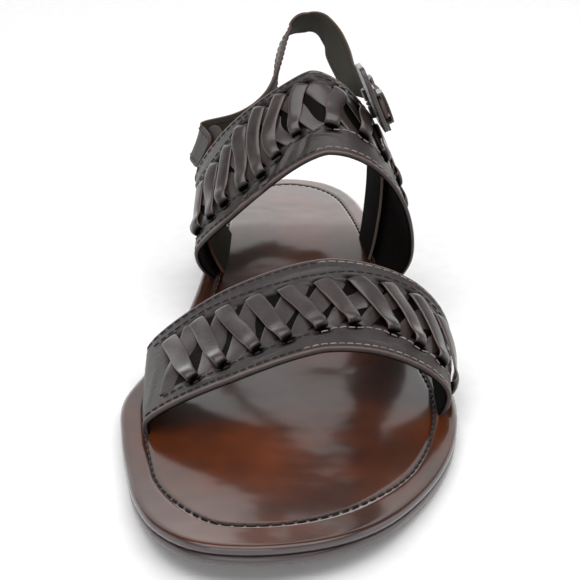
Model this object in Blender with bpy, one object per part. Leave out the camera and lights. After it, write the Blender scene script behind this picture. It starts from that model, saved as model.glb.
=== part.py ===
"""Woven leather sandal with a heel strap: the construction of one left shoe.

The shoe stands empty on its sole. Units are metres, +Z is up, the toe points along -Y and
+X is the lateral side. The origin is the middle of the flat face under the heel.
Every strap lies on one last, whose sections are worked out from the tables below.
"""
from __future__ import annotations

import logging
import math
from dataclasses import dataclass
from typing import Callable, Sequence

import bmesh
import bpy
import numpy as np
from mathutils import Vector
from mathutils.geometry import delaunay_2d_cdt

LOG = logging.getLogger("sandal")

# Driving sizes
SOLE_LENGTH = 0.295
BALL_WIDTH = 0.116
INSTEP_HEIGHT = 0.0765
HEEL_RISE = 0.014
TOE_SPRING = 0.007

# Thicknesses and clearances
OUTSOLE_THICKNESS = 0.0037
FOOTBED_THICKNESS = 0.0030
TOP_LIFT_THICKNESS = 0.0045
STRAP_THICKNESS = 0.0018
STRIP_THICKNESS = 0.0010
UNDER_STRIP_THICKNESS = 0.0005
STAY_THICKNESS = 0.0014
HEEL_STRAP_THICKNESS = 0.0017
JOINT_GAP = 0.0003
LAYER_GAP = 0.0010
SLOT_CLEARANCE = 0.0005
CUTTER_MARGIN = 0.0010
FOOT_BEND = 0.0040

# Stations along the sole, as shares of its length from the back of the heel
HEEL_SEAT_SHARE = 0.115
HEEL_BREAST_SHARE = 0.235
ARCH_START_SHARE = 0.22
TREAD_START_SHARE = 0.62
TREAD_END_SHARE = 0.76

# Outline of the sole: station (share of length), across (share of half the ball width)
SOLE_OUTLINE = (
    (0.000, 0.000),
    (0.018, 0.280),
    (0.055, 0.450),
    (0.100, 0.550),
    (0.170, 0.630),
    (0.250, 0.690),
    (0.360, 0.760),
    (0.470, 0.836),
    (0.580, 0.948),
    (0.680, 1.012),
    (0.760, 0.966),
    (0.830, 0.853),
    (0.900, 0.664),
    (0.953, 0.448),
    (0.985, 0.198),
    (1.000, -0.150),
    (0.990, -0.440),
    (0.955, -0.638),
    (0.900, -0.776),
    (0.830, -0.870),
    (0.760, -0.945),
    (0.690, -0.983),
    (0.600, -0.865),
    (0.500, -0.720),
    (0.400, -0.635),
    (0.300, -0.600),
    (0.200, -0.600),
    (0.100, -0.545),
    (0.055, -0.450),
    (0.018, -0.280),
)

# Sections of the last. Stations are shares of the sole length, places across are shares of
# half the ball width, heights above the footbed are shares of the instep height.
# A side leaves the footbed at its foot, swells to its belly at the low height and closes
# over the crest; the fulness is the exponent of that upper curve.
LAST_COLUMNS = (
    "station", "crest_across", "crest_height",
    "medial_foot", "medial_belly", "medial_low", "medial_fulness",
    "lateral_foot", "lateral_belly", "lateral_low", "lateral_fulness",
)
LAST_SECTIONS = (
    (0.200, 0.07, 1.070, -0.430, -0.700, 0.380, 1.35, 0.500, 0.560, 0.360, 1.70),
    (0.298, 0.17, 0.960, -0.430, -0.600, 0.330, 1.28, 0.560, 0.650, 0.480, 1.54),
    (0.424, 0.28, 0.735, -0.480, -0.575, 0.183, 1.28, 0.665, 0.810, 0.210, 1.96),
    (0.576, 0.26, 0.475, -0.770, -0.855, 0.092, 1.38, 0.900, 1.010, 0.105, 2.00),
    (0.719, 0.21, 0.322, -0.800, -0.812, 0.040, 1.32, 0.880, 0.920, 0.078, 1.70),
    (0.780, 0.21, 0.276, -0.760, -0.764, 0.040, 1.30, 0.840, 0.862, 0.052, 1.60),
)

# Edges of the straps round the last: share of the way from the medial to the lateral foot,
# station of the front edge, station of the rear edge (shares of the sole length)
FRONT_STRAP_EDGES = (
    (0.00, 0.766, 0.603),
    (0.12, 0.759, 0.593),
    (0.30, 0.750, 0.576),
    (0.50, 0.734, 0.570),
    (0.75, 0.720, 0.573),
    (0.90, 0.720, 0.586),
    (1.00, 0.725, 0.603),
)
INSTEP_BAND_EDGES = (
    (0.00, 0.393, 0.254),
    (0.08, 0.414, 0.254),
    (0.25, 0.437, 0.271),
    (0.50, 0.427, 0.298),
    (0.75, 0.427, 0.292),
    (0.90, 0.424, 0.275),
    (1.00, 0.414, 0.264),
)
MEDIAL_STAY_EDGES = (
    (0.00, 0.380, 0.264),
    (0.12, 0.362, 0.218),
    (0.30, 0.345, 0.200),
    (1.00, 0.345, 0.200),
)
LATERAL_STAY_EDGES = (
    (0.00, 0.320, 0.235),
    (0.70, 0.320, 0.235),
    (0.90, 0.330, 0.252),
    (1.00, 0.345, 0.275),
)
MEDIAL_STAY_REACH = 0.27
LATERAL_STAY_REACH = 0.70

# Weave: widths of the strips, and the two slit lines as shares of a strap's width
TOP_STRIP_WIDTH = 0.0062
UNDER_STRIP_WIDTH = 0.0082
WOVEN_FROM = 0.21
WOVEN_TO = 0.81
UNDER_SHIFT_SHARE = 0.28
SLIT_INSET = 0.0006

# Weave of each strap: plain leather at the medial and the lateral end, pitch of the strips,
# and how far a strip's front end lies to the lateral side of its rear end: on top at the
# medial end, on top at the lateral end, and beneath
WEAVES = {
    "front_strap": (0.0115, 0.0225, 0.0111, 0.0080, 0.0170, -0.0130),
    "instep_band": (0.0220, 0.0200, 0.0113, -0.0090, -0.0060, 0.0130),
}

# Heel strap, free part: station and across as shares, height above the floor as a share of
# the instep height, lean of its upper edge outwards in degrees, and how far the strap has
# narrowed from its full width to the width of its buckle end
HEEL_STRAP_WIDTH = 0.016
STRAP_END_WIDTH = 0.011
HEEL_STRAP_PATH = (
    (0.185, -0.460, 0.780, 0.0, 0.0),
    (0.140, -0.280, 0.800, 0.0, 0.0),
    (0.100, -0.140, 0.865, -3.0, 0.0),
    (0.060, -0.082, 0.990, -8.0, 0.0),
    (0.020, -0.045, 1.135, -20.0, 0.0),
    (-0.005, 0.035, 1.250, -46.0, 0.0),
    (-0.008, 0.165, 1.292, -50.0, 0.0),
    (0.014, 0.298, 1.265, -8.0, 0.0),
    (0.050, 0.365, 1.203, 18.0, 0.1),
    (0.095, 0.420, 1.140, 26.0, 0.4),
    (0.145, 0.465, 1.085, 26.0, 0.8),
)
EAR_SEAM = 0.016
EAR_STEPS = ((0.0, 0.0), (0.5, 0.5), (1.0, 2.0), (1.25, 3.0))

# Closure on the lateral side: place of the tab, slope of its face and its pieces' own sizes
TAB_STATION_SHARE = 0.300
TAB_ACROSS_SHARE = 0.6245
TAB_HEIGHT_SHARE = 1.084
TAB_SLOPE = 23.0
TAB_TURN = (0.12, -0.05)
TAB_BELOW = 0.0085
TAB_ABOVE = 0.0190
TAB_THICKNESS = 0.0020
TAB_LENGTH = 0.020
EYE_WALL = 0.0012
BUCKLE_WIRE = 0.0019
BUCKLE_OPENING = 0.0120
BUCKLE_SIDE_PLAY = 0.0010
PRONG_DIAMETER = 0.0013
PRONG_NOTCH = 0.0028
PRONG_HOLE = 0.0026
KEEPER_PLACE = 0.0080
KEEPER_LENGTH = 0.008
KEEPER_THICKNESS = 0.0010
KEEPER_FLANGE = 0.0025
KEEPER_CROWN = 0.15
KEEPER_PLAY = 0.0009
STRAP_TAIL = 0.0175
STRAP_ENTRY = 0.010
STRAP_LANDING = 0.0060
SEAM_MARGIN = 0.002

# Fineness
SOLE_ROWS = 34
SOLE_COLUMNS = 7
STEP_ALONG = 0.0055
STEP_OVER = 0.0095
ROUND_STEPS = 10

Surface = Callable[[np.ndarray, np.ndarray, np.ndarray], np.ndarray]


@dataclass(frozen=True)
class Finish:
    """A piece's material: its name, its sRGB colour, its roughness and its metallic value."""

    name: str
    colour: str
    roughness: float
    metallic: float = 0.0

    def make(self) -> bpy.types.Material:
        """Make the material as a Principled BSDF."""
        material = bpy.data.materials.new(self.name)
        material.use_nodes = True
        shader = material.node_tree.nodes["Principled BSDF"]
        srgb = [int(self.colour[i:i + 2], 16) / 255 for i in (0, 2, 4)]
        linear = [c / 12.92 if c <= 0.04045 else ((c + 0.055) / 1.055) ** 2.4 for c in srgb]
        shader.inputs["Base Color"].default_value = (*linear, 1.0)
        shader.inputs["Roughness"].default_value = self.roughness
        shader.inputs["Metallic"].default_value = self.metallic
        return material


FINISHES = {
    "top_lift": Finish("rubber_top_lift", "2B2827", 0.75),
    "heel_stack": Finish("polished_stacked_leather", "4A3A34", 0.35),
    "outsole": Finish("polished_leather_sole", "4B4141", 0.35),
    "footbed": Finish("burnished_leather_footbed", "6B3A1B", 0.22),
    "front_strap": Finish("woven_leather_front", "554B4B", 0.45),
    "instep_band": Finish("woven_leather_instep", "554B4B", 0.45),
    "medial_stay": Finish("lining_leather_medial", "3B3833", 0.65),
    "lateral_stay": Finish("lining_leather_lateral", "3B3833", 0.65),
    "lateral_tab": Finish("strap_leather_tab", "4A4040", 0.45),
    "heel_strap": Finish("strap_leather_heel", "4A4644", 0.50),
    "keeper": Finish("strap_leather_keeper", "4A4040", 0.45),
    "buckle_frame": Finish("aged_brass_frame", "6E6456", 0.35, 1.0),
    "buckle_prong": Finish("aged_brass_prong", "6E6456", 0.35, 1.0),
}


def clear_scene() -> None:
    """Remove every object of the opened scene."""
    for thing in list(bpy.data.objects):
        bpy.data.objects.remove(thing, do_unlink=True)


def smooth_curve(xs: Sequence[float], ys: Sequence[float], at: np.ndarray) -> np.ndarray:
    """Evaluate a cubic through (xs, ys) that never overshoots its points.

    Args:
        xs: Rising places of the known values.
        ys: Known values.
        at: Places to evaluate; beyond the ends the end values hold.

    Returns:
        The values at those places.
    """
    xs, ys, at = (np.asarray(values, float) for values in (xs, ys, at))
    step = np.diff(xs)
    slope = np.diff(ys) / step
    tangent = np.zeros_like(ys)
    tangent[0], tangent[-1] = slope[0], slope[-1]
    for i in range(1, len(xs) - 1):
        if slope[i - 1] * slope[i] > 0:
            near = 2 * step[i] + step[i - 1]
            far = step[i] + 2 * step[i - 1]
            tangent[i] = (near + far) / (near / slope[i - 1] + far / slope[i])
    i = np.clip(np.searchsorted(xs, at) - 1, 0, len(xs) - 2)
    t = np.clip((at - xs[i]) / step[i], 0.0, 1.0)
    rise = t * t * (3 - 2 * t)
    return (
        ys[i] * (1 - rise) + ys[i + 1] * rise
        + step[i] * (tangent[i] * t * (1 - t) ** 2 - tangent[i + 1] * t * t * (1 - t))
    )


def closed_curve(points: np.ndarray, per_span: int) -> np.ndarray:
    """Run a centripetal Catmull-Rom curve through a closed loop of points."""
    count = len(points)
    result = []
    for i in range(count):
        p = [points[(i + k) % count] for k in (-1, 0, 1, 2)]
        knot = [0.0]
        for a, b in zip(p, p[1:]):
            knot.append(knot[-1] + max(math.sqrt(float(np.hypot(*(b - a)))), 1e-6))
        for t in np.linspace(knot[1], knot[2], per_span, endpoint=False):
            first = [
                ((knot[k + 1] - t) * p[k] + (t - knot[k]) * p[k + 1]) / (knot[k + 1] - knot[k])
                for k in range(3)
            ]
            second = [
                ((knot[k + 2] - t) * first[k] + (t - knot[k]) * first[k + 1]) / (knot[k + 2] - knot[k])
                for k in range(2)
            ]
            result.append(((knot[2] - t) * second[0] + (t - knot[1]) * second[1]) / (knot[2] - knot[1]))
    return np.array(result)


def to_y(station: np.ndarray) -> np.ndarray:
    """Turn a station from the back of the heel into the world's Y."""
    return HEEL_SEAT_SHARE * SOLE_LENGTH - station


def underside(station: np.ndarray) -> np.ndarray:
    """Height of the outsole's lower face: heel rise, arch, flat tread and toe spring."""
    share = np.asarray(station) / SOLE_LENGTH
    arch = np.clip((share - ARCH_START_SHARE) / (TREAD_START_SHARE - ARCH_START_SHARE), 0, 1)
    toe = np.clip((share - TREAD_END_SHARE) / (1 - TREAD_END_SHARE), 0, 1)
    return HEEL_RISE * (1 - arch * arch * (3 - 2 * arch)) + TOE_SPRING * toe ** 2


def outsole_top(station: np.ndarray) -> np.ndarray:
    """Height of the outsole's upper face."""
    return underside(station) + OUTSOLE_THICKNESS


def footbed_top(station: np.ndarray) -> np.ndarray:
    """Height of the footbed's upper face."""
    return outsole_top(station) + JOINT_GAP + FOOTBED_THICKNESS


class SoleOutline:
    """The closed outline of the sole, split into its medial and lateral sides."""

    def __init__(self) -> None:
        scale = np.array([SOLE_LENGTH, BALL_WIDTH / 2])
        self.loop = closed_curve(np.array(SOLE_OUTLINE) * scale, 12)

    def inset(self, distance: float) -> np.ndarray:
        """Return the loop moved inwards by a distance along its normals."""
        along = np.roll(self.loop, -1, axis=0) - np.roll(self.loop, 1, axis=0)
        normal = np.stack([along[:, 1], -along[:, 0]], -1)
        normal /= np.linalg.norm(normal, axis=1, keepdims=True)
        return self.loop + normal * distance

    def level(self, distance: float, height: Callable, end: float | None = None) -> np.ndarray:
        """Lay rows of points across the outline at one level.

        Args:
            distance: How far the level lies inside the outline.
            height: Height of the level at a station.
            end: Station of a straight front end, or None for the whole length.

        Returns:
            Points by row and column, from the heel forwards and from medial to lateral.
        """
        loop = self.inset(distance)
        first, last = int(loop[:, 0].argmin()), int(loop[:, 0].argmax())
        lateral = np.roll(loop, -first, axis=0)[: (last - first) % len(loop) + 1]
        medial = np.roll(loop, -last, axis=0)[: (first - last) % len(loop) + 1][::-1]
        start, stop = loop[first, 0], loop[last, 0] if end is None else end
        turn = np.linspace(0.035, 1.0 if end is not None else 0.965, SOLE_ROWS if end is None else SOLE_ROWS // 2)
        angle = turn * (math.pi if end is None else math.pi / 2)
        share = (1 - np.cos(angle)) / 2 if end is None else 1 - np.cos(angle)
        station = start + (stop - start) * share
        left = np.interp(station, medial[:, 0], medial[:, 1])
        right = np.interp(station, lateral[:, 0], lateral[:, 1])
        across = np.linspace(0, 1, SOLE_COLUMNS)
        x = left[:, None] + (right - left)[:, None] * across
        s = np.repeat(station[:, None], SOLE_COLUMNS, axis=1)
        return np.stack([x, to_y(s), height(s)], -1)


class Last:
    """The foot form that every strap lies on."""

    ALONG = 90
    ROUND = 97

    def __init__(self) -> None:
        table = np.array(LAST_SECTIONS)
        scale = {
            "station": SOLE_LENGTH, "height": INSTEP_HEIGHT, "low": INSTEP_HEIGHT,
            "fulness": 1.0, "across": BALL_WIDTH / 2, "foot": BALL_WIDTH / 2, "belly": BALL_WIDTH / 2,
        }
        known = table[:, 0] * SOLE_LENGTH
        self.stations = np.linspace(known[0], known[-1], self.ALONG)
        columns = {
            name: smooth_curve(known, table[:, i] * scale[name.split("_")[-1]], self.stations)
            for i, name in enumerate(LAST_COLUMNS)
        }
        self.grid = np.array([
            self._section({name: float(values[i]) for name, values in columns.items()})
            for i in range(self.ALONG)
        ])
        steps = np.linalg.norm(np.diff(self.grid, axis=1), axis=2)
        self.girth = steps.sum(axis=1)

    def _section(self, at: dict[str, float]) -> np.ndarray:
        """Points (across, height above the footbed) from the medial to the lateral foot."""
        halves = []
        for side in ("medial", "lateral"):
            foot, belly, low, fulness = (at[f"{side}_{part}"] for part in ("foot", "belly", "low", "fulness"))
            rise = np.linspace(0, 1, 12, endpoint=False)
            lower = np.stack([belly + (foot - belly) * (1 - rise) ** 2, low * rise], -1)
            angle = np.linspace(0, math.pi / 2, 60)
            out = np.cos(angle) ** (2 / fulness)
            up = np.sin(angle) ** (2 / fulness)
            upper = np.stack([
                at["crest_across"] + (belly - at["crest_across"]) * out,
                low + (at["crest_height"] - low) * up,
            ], -1)
            halves.append(np.concatenate([lower, upper]))
        points = np.concatenate([halves[0], halves[1][-2::-1]])
        run = np.concatenate([[0.0], np.cumsum(np.linalg.norm(np.diff(points, axis=0), axis=1))])
        even = np.linspace(0, run[-1], self.ROUND)
        return np.stack([np.interp(even, run, points[:, k]) for k in (0, 1)], -1)

    def point(self, station: np.ndarray, way: np.ndarray) -> np.ndarray:
        """World points at a station and a share of the way round."""
        i = np.clip((station - self.stations[0]) / (self.stations[1] - self.stations[0]), 0, self.ALONG - 1.001)
        j = np.clip(way, 0, 1) * (self.ROUND - 1.001)
        i0, j0 = i.astype(int), j.astype(int)
        fi, fj = (i - i0)[..., None], (j - j0)[..., None]
        flat = (
            self.grid[i0, j0] * (1 - fi) * (1 - fj) + self.grid[i0 + 1, j0] * fi * (1 - fj)
            + self.grid[i0, j0 + 1] * (1 - fi) * fj + self.grid[i0 + 1, j0 + 1] * fi * fj
        )
        return np.stack([flat[..., 0], to_y(station), flat[..., 1] + footbed_top(station)], -1)


@dataclass(frozen=True)
class Strap:
    """A strap cut flat and laid round the last.

    Flat places are lengths: along from the medial foot to the lateral foot, and over from
    the front edge to the rear edge. Beyond either foot the strap goes down into its slot.
    """

    last: Last
    edges: tuple
    reach_from: float = 0.0
    reach_to: float = 1.0
    offset: float = 0.0

    @property
    def length(self) -> float:
        """Length round the last between the feet, at mid width."""
        way = np.linspace(0, 1, 60)
        points = self._bare(way, np.full(60, 0.5))
        return float(np.linalg.norm(np.diff(points, axis=0), axis=1).sum())

    @property
    def width(self) -> float:
        """Width at the crest."""
        ends = self._bare(np.array([0.5, 0.5]), np.array([0.0, 1.0]))
        return float(np.linalg.norm(ends[1] - ends[0]))

    def _bare(self, way: np.ndarray, over: np.ndarray) -> np.ndarray:
        table = np.array(self.edges)
        front = smooth_curve(table[:, 0], table[:, 1], way) * SOLE_LENGTH
        rear = smooth_curve(table[:, 0], table[:, 2], way) * SOLE_LENGTH
        return self.last.point(front + (rear - front) * over, way)

    def _sheet(self, along: np.ndarray, over: np.ndarray) -> np.ndarray:
        way = along / self.length
        points = self._bare(way, over / self.width)
        below = np.maximum(-along, 0) + np.maximum(along - self.length, 0)
        points[..., 2] -= below
        return points

    def place(self, along: np.ndarray, over: np.ndarray, out: np.ndarray) -> np.ndarray:
        """World points at flat places and distances out from the last."""
        step = 0.0008
        a = self._sheet(along + step, over) - self._sheet(along - step, over)
        b = self._sheet(along, over + step) - self._sheet(along, over - step)
        normal = np.cross(a, b)
        normal /= np.linalg.norm(normal, axis=-1, keepdims=True)
        return self._sheet(along, over) + normal * (out + self.offset)[..., None]


@dataclass(frozen=True)
class Frame:
    """A local frame: forward along the tab, up across it and out from the shoe."""

    origin: np.ndarray
    forward: np.ndarray
    up: np.ndarray
    out: np.ndarray

    def place(self, forward: float, up: float, out: float) -> np.ndarray:
        """World point of a place in the frame."""
        return self.origin + self.forward * forward + self.up * up + self.out * out


def mesh_object(name: str, points: np.ndarray, faces: Sequence[Sequence[int]]) -> bpy.types.Object:
    """Make an object from points and faces, facing outwards."""
    mesh = bpy.data.meshes.new(name)
    mesh.from_pydata([tuple(map(float, p)) for p in points], [], [list(map(int, f)) for f in faces])
    work = bmesh.new()
    work.from_mesh(mesh)
    bmesh.ops.remove_doubles(work, verts=work.verts, dist=1e-6)
    bmesh.ops.recalc_face_normals(work, faces=work.faces)
    if work.calc_volume(signed=True) < 0:
        bmesh.ops.reverse_faces(work, faces=work.faces)
    work.to_mesh(mesh)
    work.free()
    thing = bpy.data.objects.new(name, mesh)
    collection("sandal").objects.link(thing)
    return thing


def collection(name: str) -> bpy.types.Collection:
    """Return the scene's collection of this name, made if it is missing."""
    found = bpy.data.collections.get(name)
    if found is None:
        found = bpy.data.collections.new(name)
        bpy.context.scene.collection.children.link(found)
    return found


def as_cutter(thing: bpy.types.Object) -> bpy.types.Object:
    """Hide an object that only cuts others, in a collection of its own."""
    collection("sandal").objects.unlink(thing)
    collection("cutters").objects.link(thing)
    thing.hide_render = True
    thing.display_type = "WIRE"
    return thing


def stacked_solid(name: str, levels: Sequence[np.ndarray]) -> bpy.types.Object:
    """Close a stack of grids: the first is the lower cap, the last the upper cap."""
    rows, columns = levels[0].shape[:2]
    rim = (
        [(0, j) for j in range(columns)] + [(i, columns - 1) for i in range(1, rows)]
        + [(rows - 1, j) for j in range(columns - 2, -1, -1)] + [(i, 0) for i in range(rows - 2, 0, -1)]
    )
    size = rows * columns
    points = np.concatenate([level.reshape(-1, 3) for level in (levels[0], levels[-1])])
    loops = [[i * columns + j for i, j in rim]]
    for level in levels[1:-1]:
        loops.append(list(range(len(points), len(points) + len(rim))))
        points = np.concatenate([points, np.array([level[i, j] for i, j in rim])])
    loops.append([size + i * columns + j for i, j in rim])
    faces = []
    for base, flip in ((0, True), (size, False)):
        for i in range(rows - 1):
            for j in range(columns - 1):
                a = base + i * columns + j
                quad = [a, a + 1, a + columns + 1, a + columns]
                faces.append(quad[::-1] if flip else quad)
    for lower, upper in zip(loops, loops[1:]):
        for k in range(len(rim)):
            n = (k + 1) % len(rim)
            faces.append([lower[k], lower[n], upper[n], upper[k]])
    return mesh_object(name, points, faces)


def spaced(start: float, stop: float, step: float) -> np.ndarray:
    """Even places from start to stop, at most a step apart."""
    return np.linspace(start, stop, max(2, int(math.ceil(abs(stop - start) / step)) + 1))


@dataclass(frozen=True)
class Strip:
    """One raised strip in the flat: a leaning band between two places over the strap."""

    middle: float
    lean: float
    width: float
    start: float
    stop: float
    height: float

    def corners(self) -> list[tuple[float, float]]:
        """The strip's outline, with points along its sides."""
        over = spaced(self.start, self.stop, STEP_OVER)
        centre = self.middle + self.lean * (0.5 - (over - self.start) / (self.stop - self.start))
        left = [(c - self.width / 2, o) for c, o in zip(centre, over)]
        right = [(c + self.width / 2, o) for c, o in zip(centre, over)]
        return right + left[::-1]


def flat_sheet(
    outline: Sequence[tuple[float, float]], inner: Sequence[tuple[float, float]], strips: Sequence[Strip],
) -> tuple[list, list, list]:
    """Divide a flat outline into triangles that follow the strips' edges."""
    points = [Vector(p) for p in list(outline) + list(inner)]
    faces = [list(range(len(outline)))]
    for strip in strips:
        corners = strip.corners()
        faces.append(list(range(len(points), len(points) + len(corners))))
        points.extend(Vector(p) for p in corners)
    found = delaunay_2d_cdt(points, [], faces, 1, 1e-6)
    return found[0], found[2], found[5]


def strap_solid(
    name: str, place: Surface, outline: Sequence[tuple[float, float]], inner: Sequence[tuple[float, float]],
    thickness: float, strips: Sequence[Strip] = (),
) -> bpy.types.Object:
    """Bend a flat strap of one thickness, with raised strips, into a closed solid.

    Args:
        name: Name of the piece.
        place: Bends flat places and a distance out into world points.
        outline: Flat outline, with points close enough together to bend.
        inner: Points inside the outline that carry the bend.
        thickness: Thickness of the wall.
        strips: Strips that stand up from the outer face.

    Returns:
        The finished object.
    """
    vertices, faces, sources = flat_sheet(outline, inner, strips)
    heights = [
        thickness + max([strips[k - 1].height for k in source if k > 0], default=0.0) for source in sources
    ]
    levels: list[set[float]] = [set() for _ in vertices]
    for face, height in zip(faces, heights):
        for v in face:
            levels[v].add(height)
    index: dict[tuple[int, float], int] = {}
    flat: list[tuple[float, float, float]] = []
    for v, own in enumerate(levels):
        for height in sorted(own):
            index[v, height] = len(flat)
            flat.append((vertices[v][0], vertices[v][1], height))
    solid = [[index[v, height] for v in face] for face, height in zip(faces, heights)]
    sides: dict[tuple[int, int], list[float]] = {}
    for face, height in zip(faces, heights):
        for a, b in zip(face, list(face[1:]) + [face[0]]):
            sides.setdefault((min(a, b), max(a, b)), []).append(height)
    border = set()
    for (a, b), own in sides.items():
        if len(own) == 1:
            border.add((a, b))
        elif own[0] != own[1]:
            low, high = sorted(own)
            up = [index[a, h] for h in sorted(levels[a]) if low <= h <= high]
            down = [index[b, h] for h in sorted(levels[b], reverse=True) if low <= h <= high]
            solid.append(up + down)
    lower, lower_faces, _ = flat_sheet(outline, inner, ())
    base = len(flat)
    flat.extend((p[0], p[1], 0.0) for p in lower)
    solid.extend([base + v for v in reversed(face)] for face in lower_faces)
    nearest = {}
    for a, b in border:
        for v in (a, b):
            gap = [(p[0] - vertices[v][0]) ** 2 + (p[1] - vertices[v][1]) ** 2 for p in lower]
            nearest[v] = base + int(np.argmin(gap))
        solid.append([index[a, thickness], index[b, thickness], nearest[b], nearest[a]])
    flat_points = np.array(flat)
    return mesh_object(name, place(flat_points[:, 0], flat_points[:, 1], flat_points[:, 2]), solid)


def rectangle(a: Sequence[float], b: Sequence[float]) -> tuple[list, list]:
    """Outline and inner points of a flat rectangle, from its places along and over."""
    outline = (
        [(x, b[0]) for x in a] + [(a[-1], y) for y in b[1:]]
        + [(x, b[-1]) for x in a[-2::-1]] + [(a[0], y) for y in b[-2:0:-1]]
    )
    inner = [(x, y) for x in a[1:-1] for y in b[1:-1]]
    return outline, inner


def places_along(strap: Strap, start: float, stop: float, tuck: float) -> np.ndarray:
    """Places along a strap between two shares of its length, bending at each foot."""
    first, last = start * strap.length, stop * strap.length
    low = [-tuck, 0.0] if start == 0 else []
    high = [strap.length, strap.length + tuck] if stop == 1 else []
    near = first + FOOT_BEND if low else first
    far = last - FOOT_BEND if high else last
    return np.array(low + list(spaced(near, far, STEP_ALONG)) + high)


def weave(strap: Strap, row: Sequence[float]) -> list[Strip]:
    """Strips of both directions along a strap.

    Args:
        strap: The strap that carries them.
        row: The strap's row in the table of weaves.

    Returns:
        The strips beneath and the strips on top.
    """
    near, far, pitch, first_lean, last_lean, under_lean = row
    low, high = WOVEN_FROM * strap.width, WOVEN_TO * strap.width
    start, stop = near, strap.length - far
    count = int(round((stop - start) / pitch)) + 1
    middles = np.linspace(start, stop, count)
    leans = np.linspace(first_lean, last_lean, count)
    shift = UNDER_SHIFT_SHARE * (stop - start) / (count - 1)
    beneath = [
        Strip(float(m) + shift, under_lean, UNDER_STRIP_WIDTH, low + SLIT_INSET, high - SLIT_INSET,
              UNDER_STRIP_THICKNESS)
        for m in middles[:-1]
    ]
    on_top = [
        Strip(float(m), float(lean), TOP_STRIP_WIDTH, low, high, STRIP_THICKNESS)
        for m, lean in zip(middles, leans)
    ]
    return beneath + on_top


def slot_cutter(name: str, strap: Strap, lateral: bool, inner: float, outer: float) -> bpy.types.Object:
    """A hidden cutter for the slot that a strap's foot passes through."""
    deep = FOOTBED_THICKNESS + 2 * SLOT_CLEARANCE
    along = places_along(strap, 0.0, 1.0, deep)
    over = spaced(0.0, strap.width, STEP_OVER)
    over[0] -= SLOT_CLEARANCE
    over[-1] += SLOT_CLEARANCE
    outline, inside = rectangle(along[-3:] if lateral else along[:3], over)

    def place(along: np.ndarray, over: np.ndarray, out: np.ndarray) -> np.ndarray:
        return strap.place(along, over, inner + out * (outer - inner))

    return as_cutter(strap_solid(name, place, outline, inside, 1.0))


def unit(vector: np.ndarray) -> np.ndarray:
    """The vector at length one."""
    return vector / np.linalg.norm(vector)


def closure_frame() -> Frame:
    """The tab's frame: its origin is the middle of the tab's outer face at its rear end."""
    slope = math.radians(TAB_SLOPE)
    up = np.array([-math.sin(slope), 0.0, math.cos(slope)])
    forward = np.array([TAB_TURN[0], -1.0, TAB_TURN[1]])
    forward = unit(forward - up * float(forward @ up))
    origin = np.array([
        TAB_ACROSS_SHARE * BALL_WIDTH / 2, to_y(TAB_STATION_SHARE * SOLE_LENGTH), TAB_HEIGHT_SHARE * INSTEP_HEIGHT,
    ])
    return Frame(origin, forward, up, np.cross(up, forward))


class Ribbon:
    """A strap that runs free through space, as a path with a direction and a width across it."""

    def __init__(self, points: np.ndarray, across: np.ndarray, widths: np.ndarray) -> None:
        run = np.concatenate([[0.0], np.cumsum(np.linalg.norm(np.diff(points, axis=0), axis=1))])
        fine = np.linspace(0, run[-1], 400)
        self.points = np.stack([smooth_curve(run, points[:, k], fine) for k in range(3)], -1)
        side = np.stack([smooth_curve(run, across[:, k], fine) for k in range(3)], -1)
        self.run = np.concatenate([[0.0], np.cumsum(np.linalg.norm(np.diff(self.points, axis=0), axis=1))])
        self.length = float(self.run[-1])
        self.width = float(widths[0])
        self.widths = smooth_curve(run, widths, fine)
        ahead = np.gradient(self.points, self.run, axis=0)
        ahead /= np.linalg.norm(ahead, axis=1, keepdims=True)
        side -= ahead * (side * ahead).sum(axis=1, keepdims=True)
        self.side = side / np.linalg.norm(side, axis=1, keepdims=True)
        self.out = np.cross(self.side, ahead)

    def _at(self, values: np.ndarray, along: np.ndarray) -> np.ndarray:
        return np.stack([np.interp(along, self.run, values[:, k]) for k in range(3)], -1)

    def place(self, along: np.ndarray, over: np.ndarray, out: np.ndarray) -> np.ndarray:
        """World points: along the path, over from its lower edge, out from its inner face.

        Over is measured at the full width, and shrinks with the strap where it narrows.
        """
        across = (over / self.width - 0.5) * np.interp(along, self.run, self.widths)
        return (
            self._at(self.points, along) + self._at(self.side, along) * across[:, None]
            + self._at(self.out, along) * out[:, None]
        )


def build_sole(outline: SoleOutline) -> bpy.types.Object:
    """Make the top lift, the heel, the outsole and the footbed; return the footbed."""
    breast = HEEL_BREAST_SHARE * SOLE_LENGTH

    def flat(height: float) -> Callable:
        return lambda s: np.full_like(s, height)

    lift = TOP_LIFT_THICKNESS
    stacked_solid("top_lift", [
        outline.level(0.0042, flat(0.0), breast - 0.0045),
        outline.level(0.0032, flat(0.0008), breast - 0.0038),
        outline.level(0.0026, flat(lift), breast - 0.0034),
    ])
    stacked_solid("heel_stack", [
        outline.level(0.0026, flat(lift + JOINT_GAP), breast - 0.0034),
        outline.level(0.0018, lambda s: underside(s) - JOINT_GAP, breast - 0.0020),
    ])
    thick = OUTSOLE_THICKNESS
    stacked_solid("outsole", [
        outline.level(0.0026, underside),
        outline.level(0.0010, lambda s: underside(s) + 0.18 * thick),
        outline.level(0.0002, lambda s: underside(s) + 0.50 * thick),
        outline.level(0.0002, lambda s: underside(s) + 0.80 * thick),
        outline.level(0.0007, outsole_top),
    ])
    thick = FOOTBED_THICKNESS
    return stacked_solid("footbed", [
        outline.level(0.0008, lambda s: outsole_top(s) + JOINT_GAP),
        outline.level(0.0002, lambda s: footbed_top(s) - 0.75 * thick),
        outline.level(0.0002, lambda s: footbed_top(s) - 0.35 * thick),
        outline.level(0.0010, lambda s: footbed_top(s) - 0.08 * thick),
        outline.level(0.0020, footbed_top),
    ])


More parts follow.
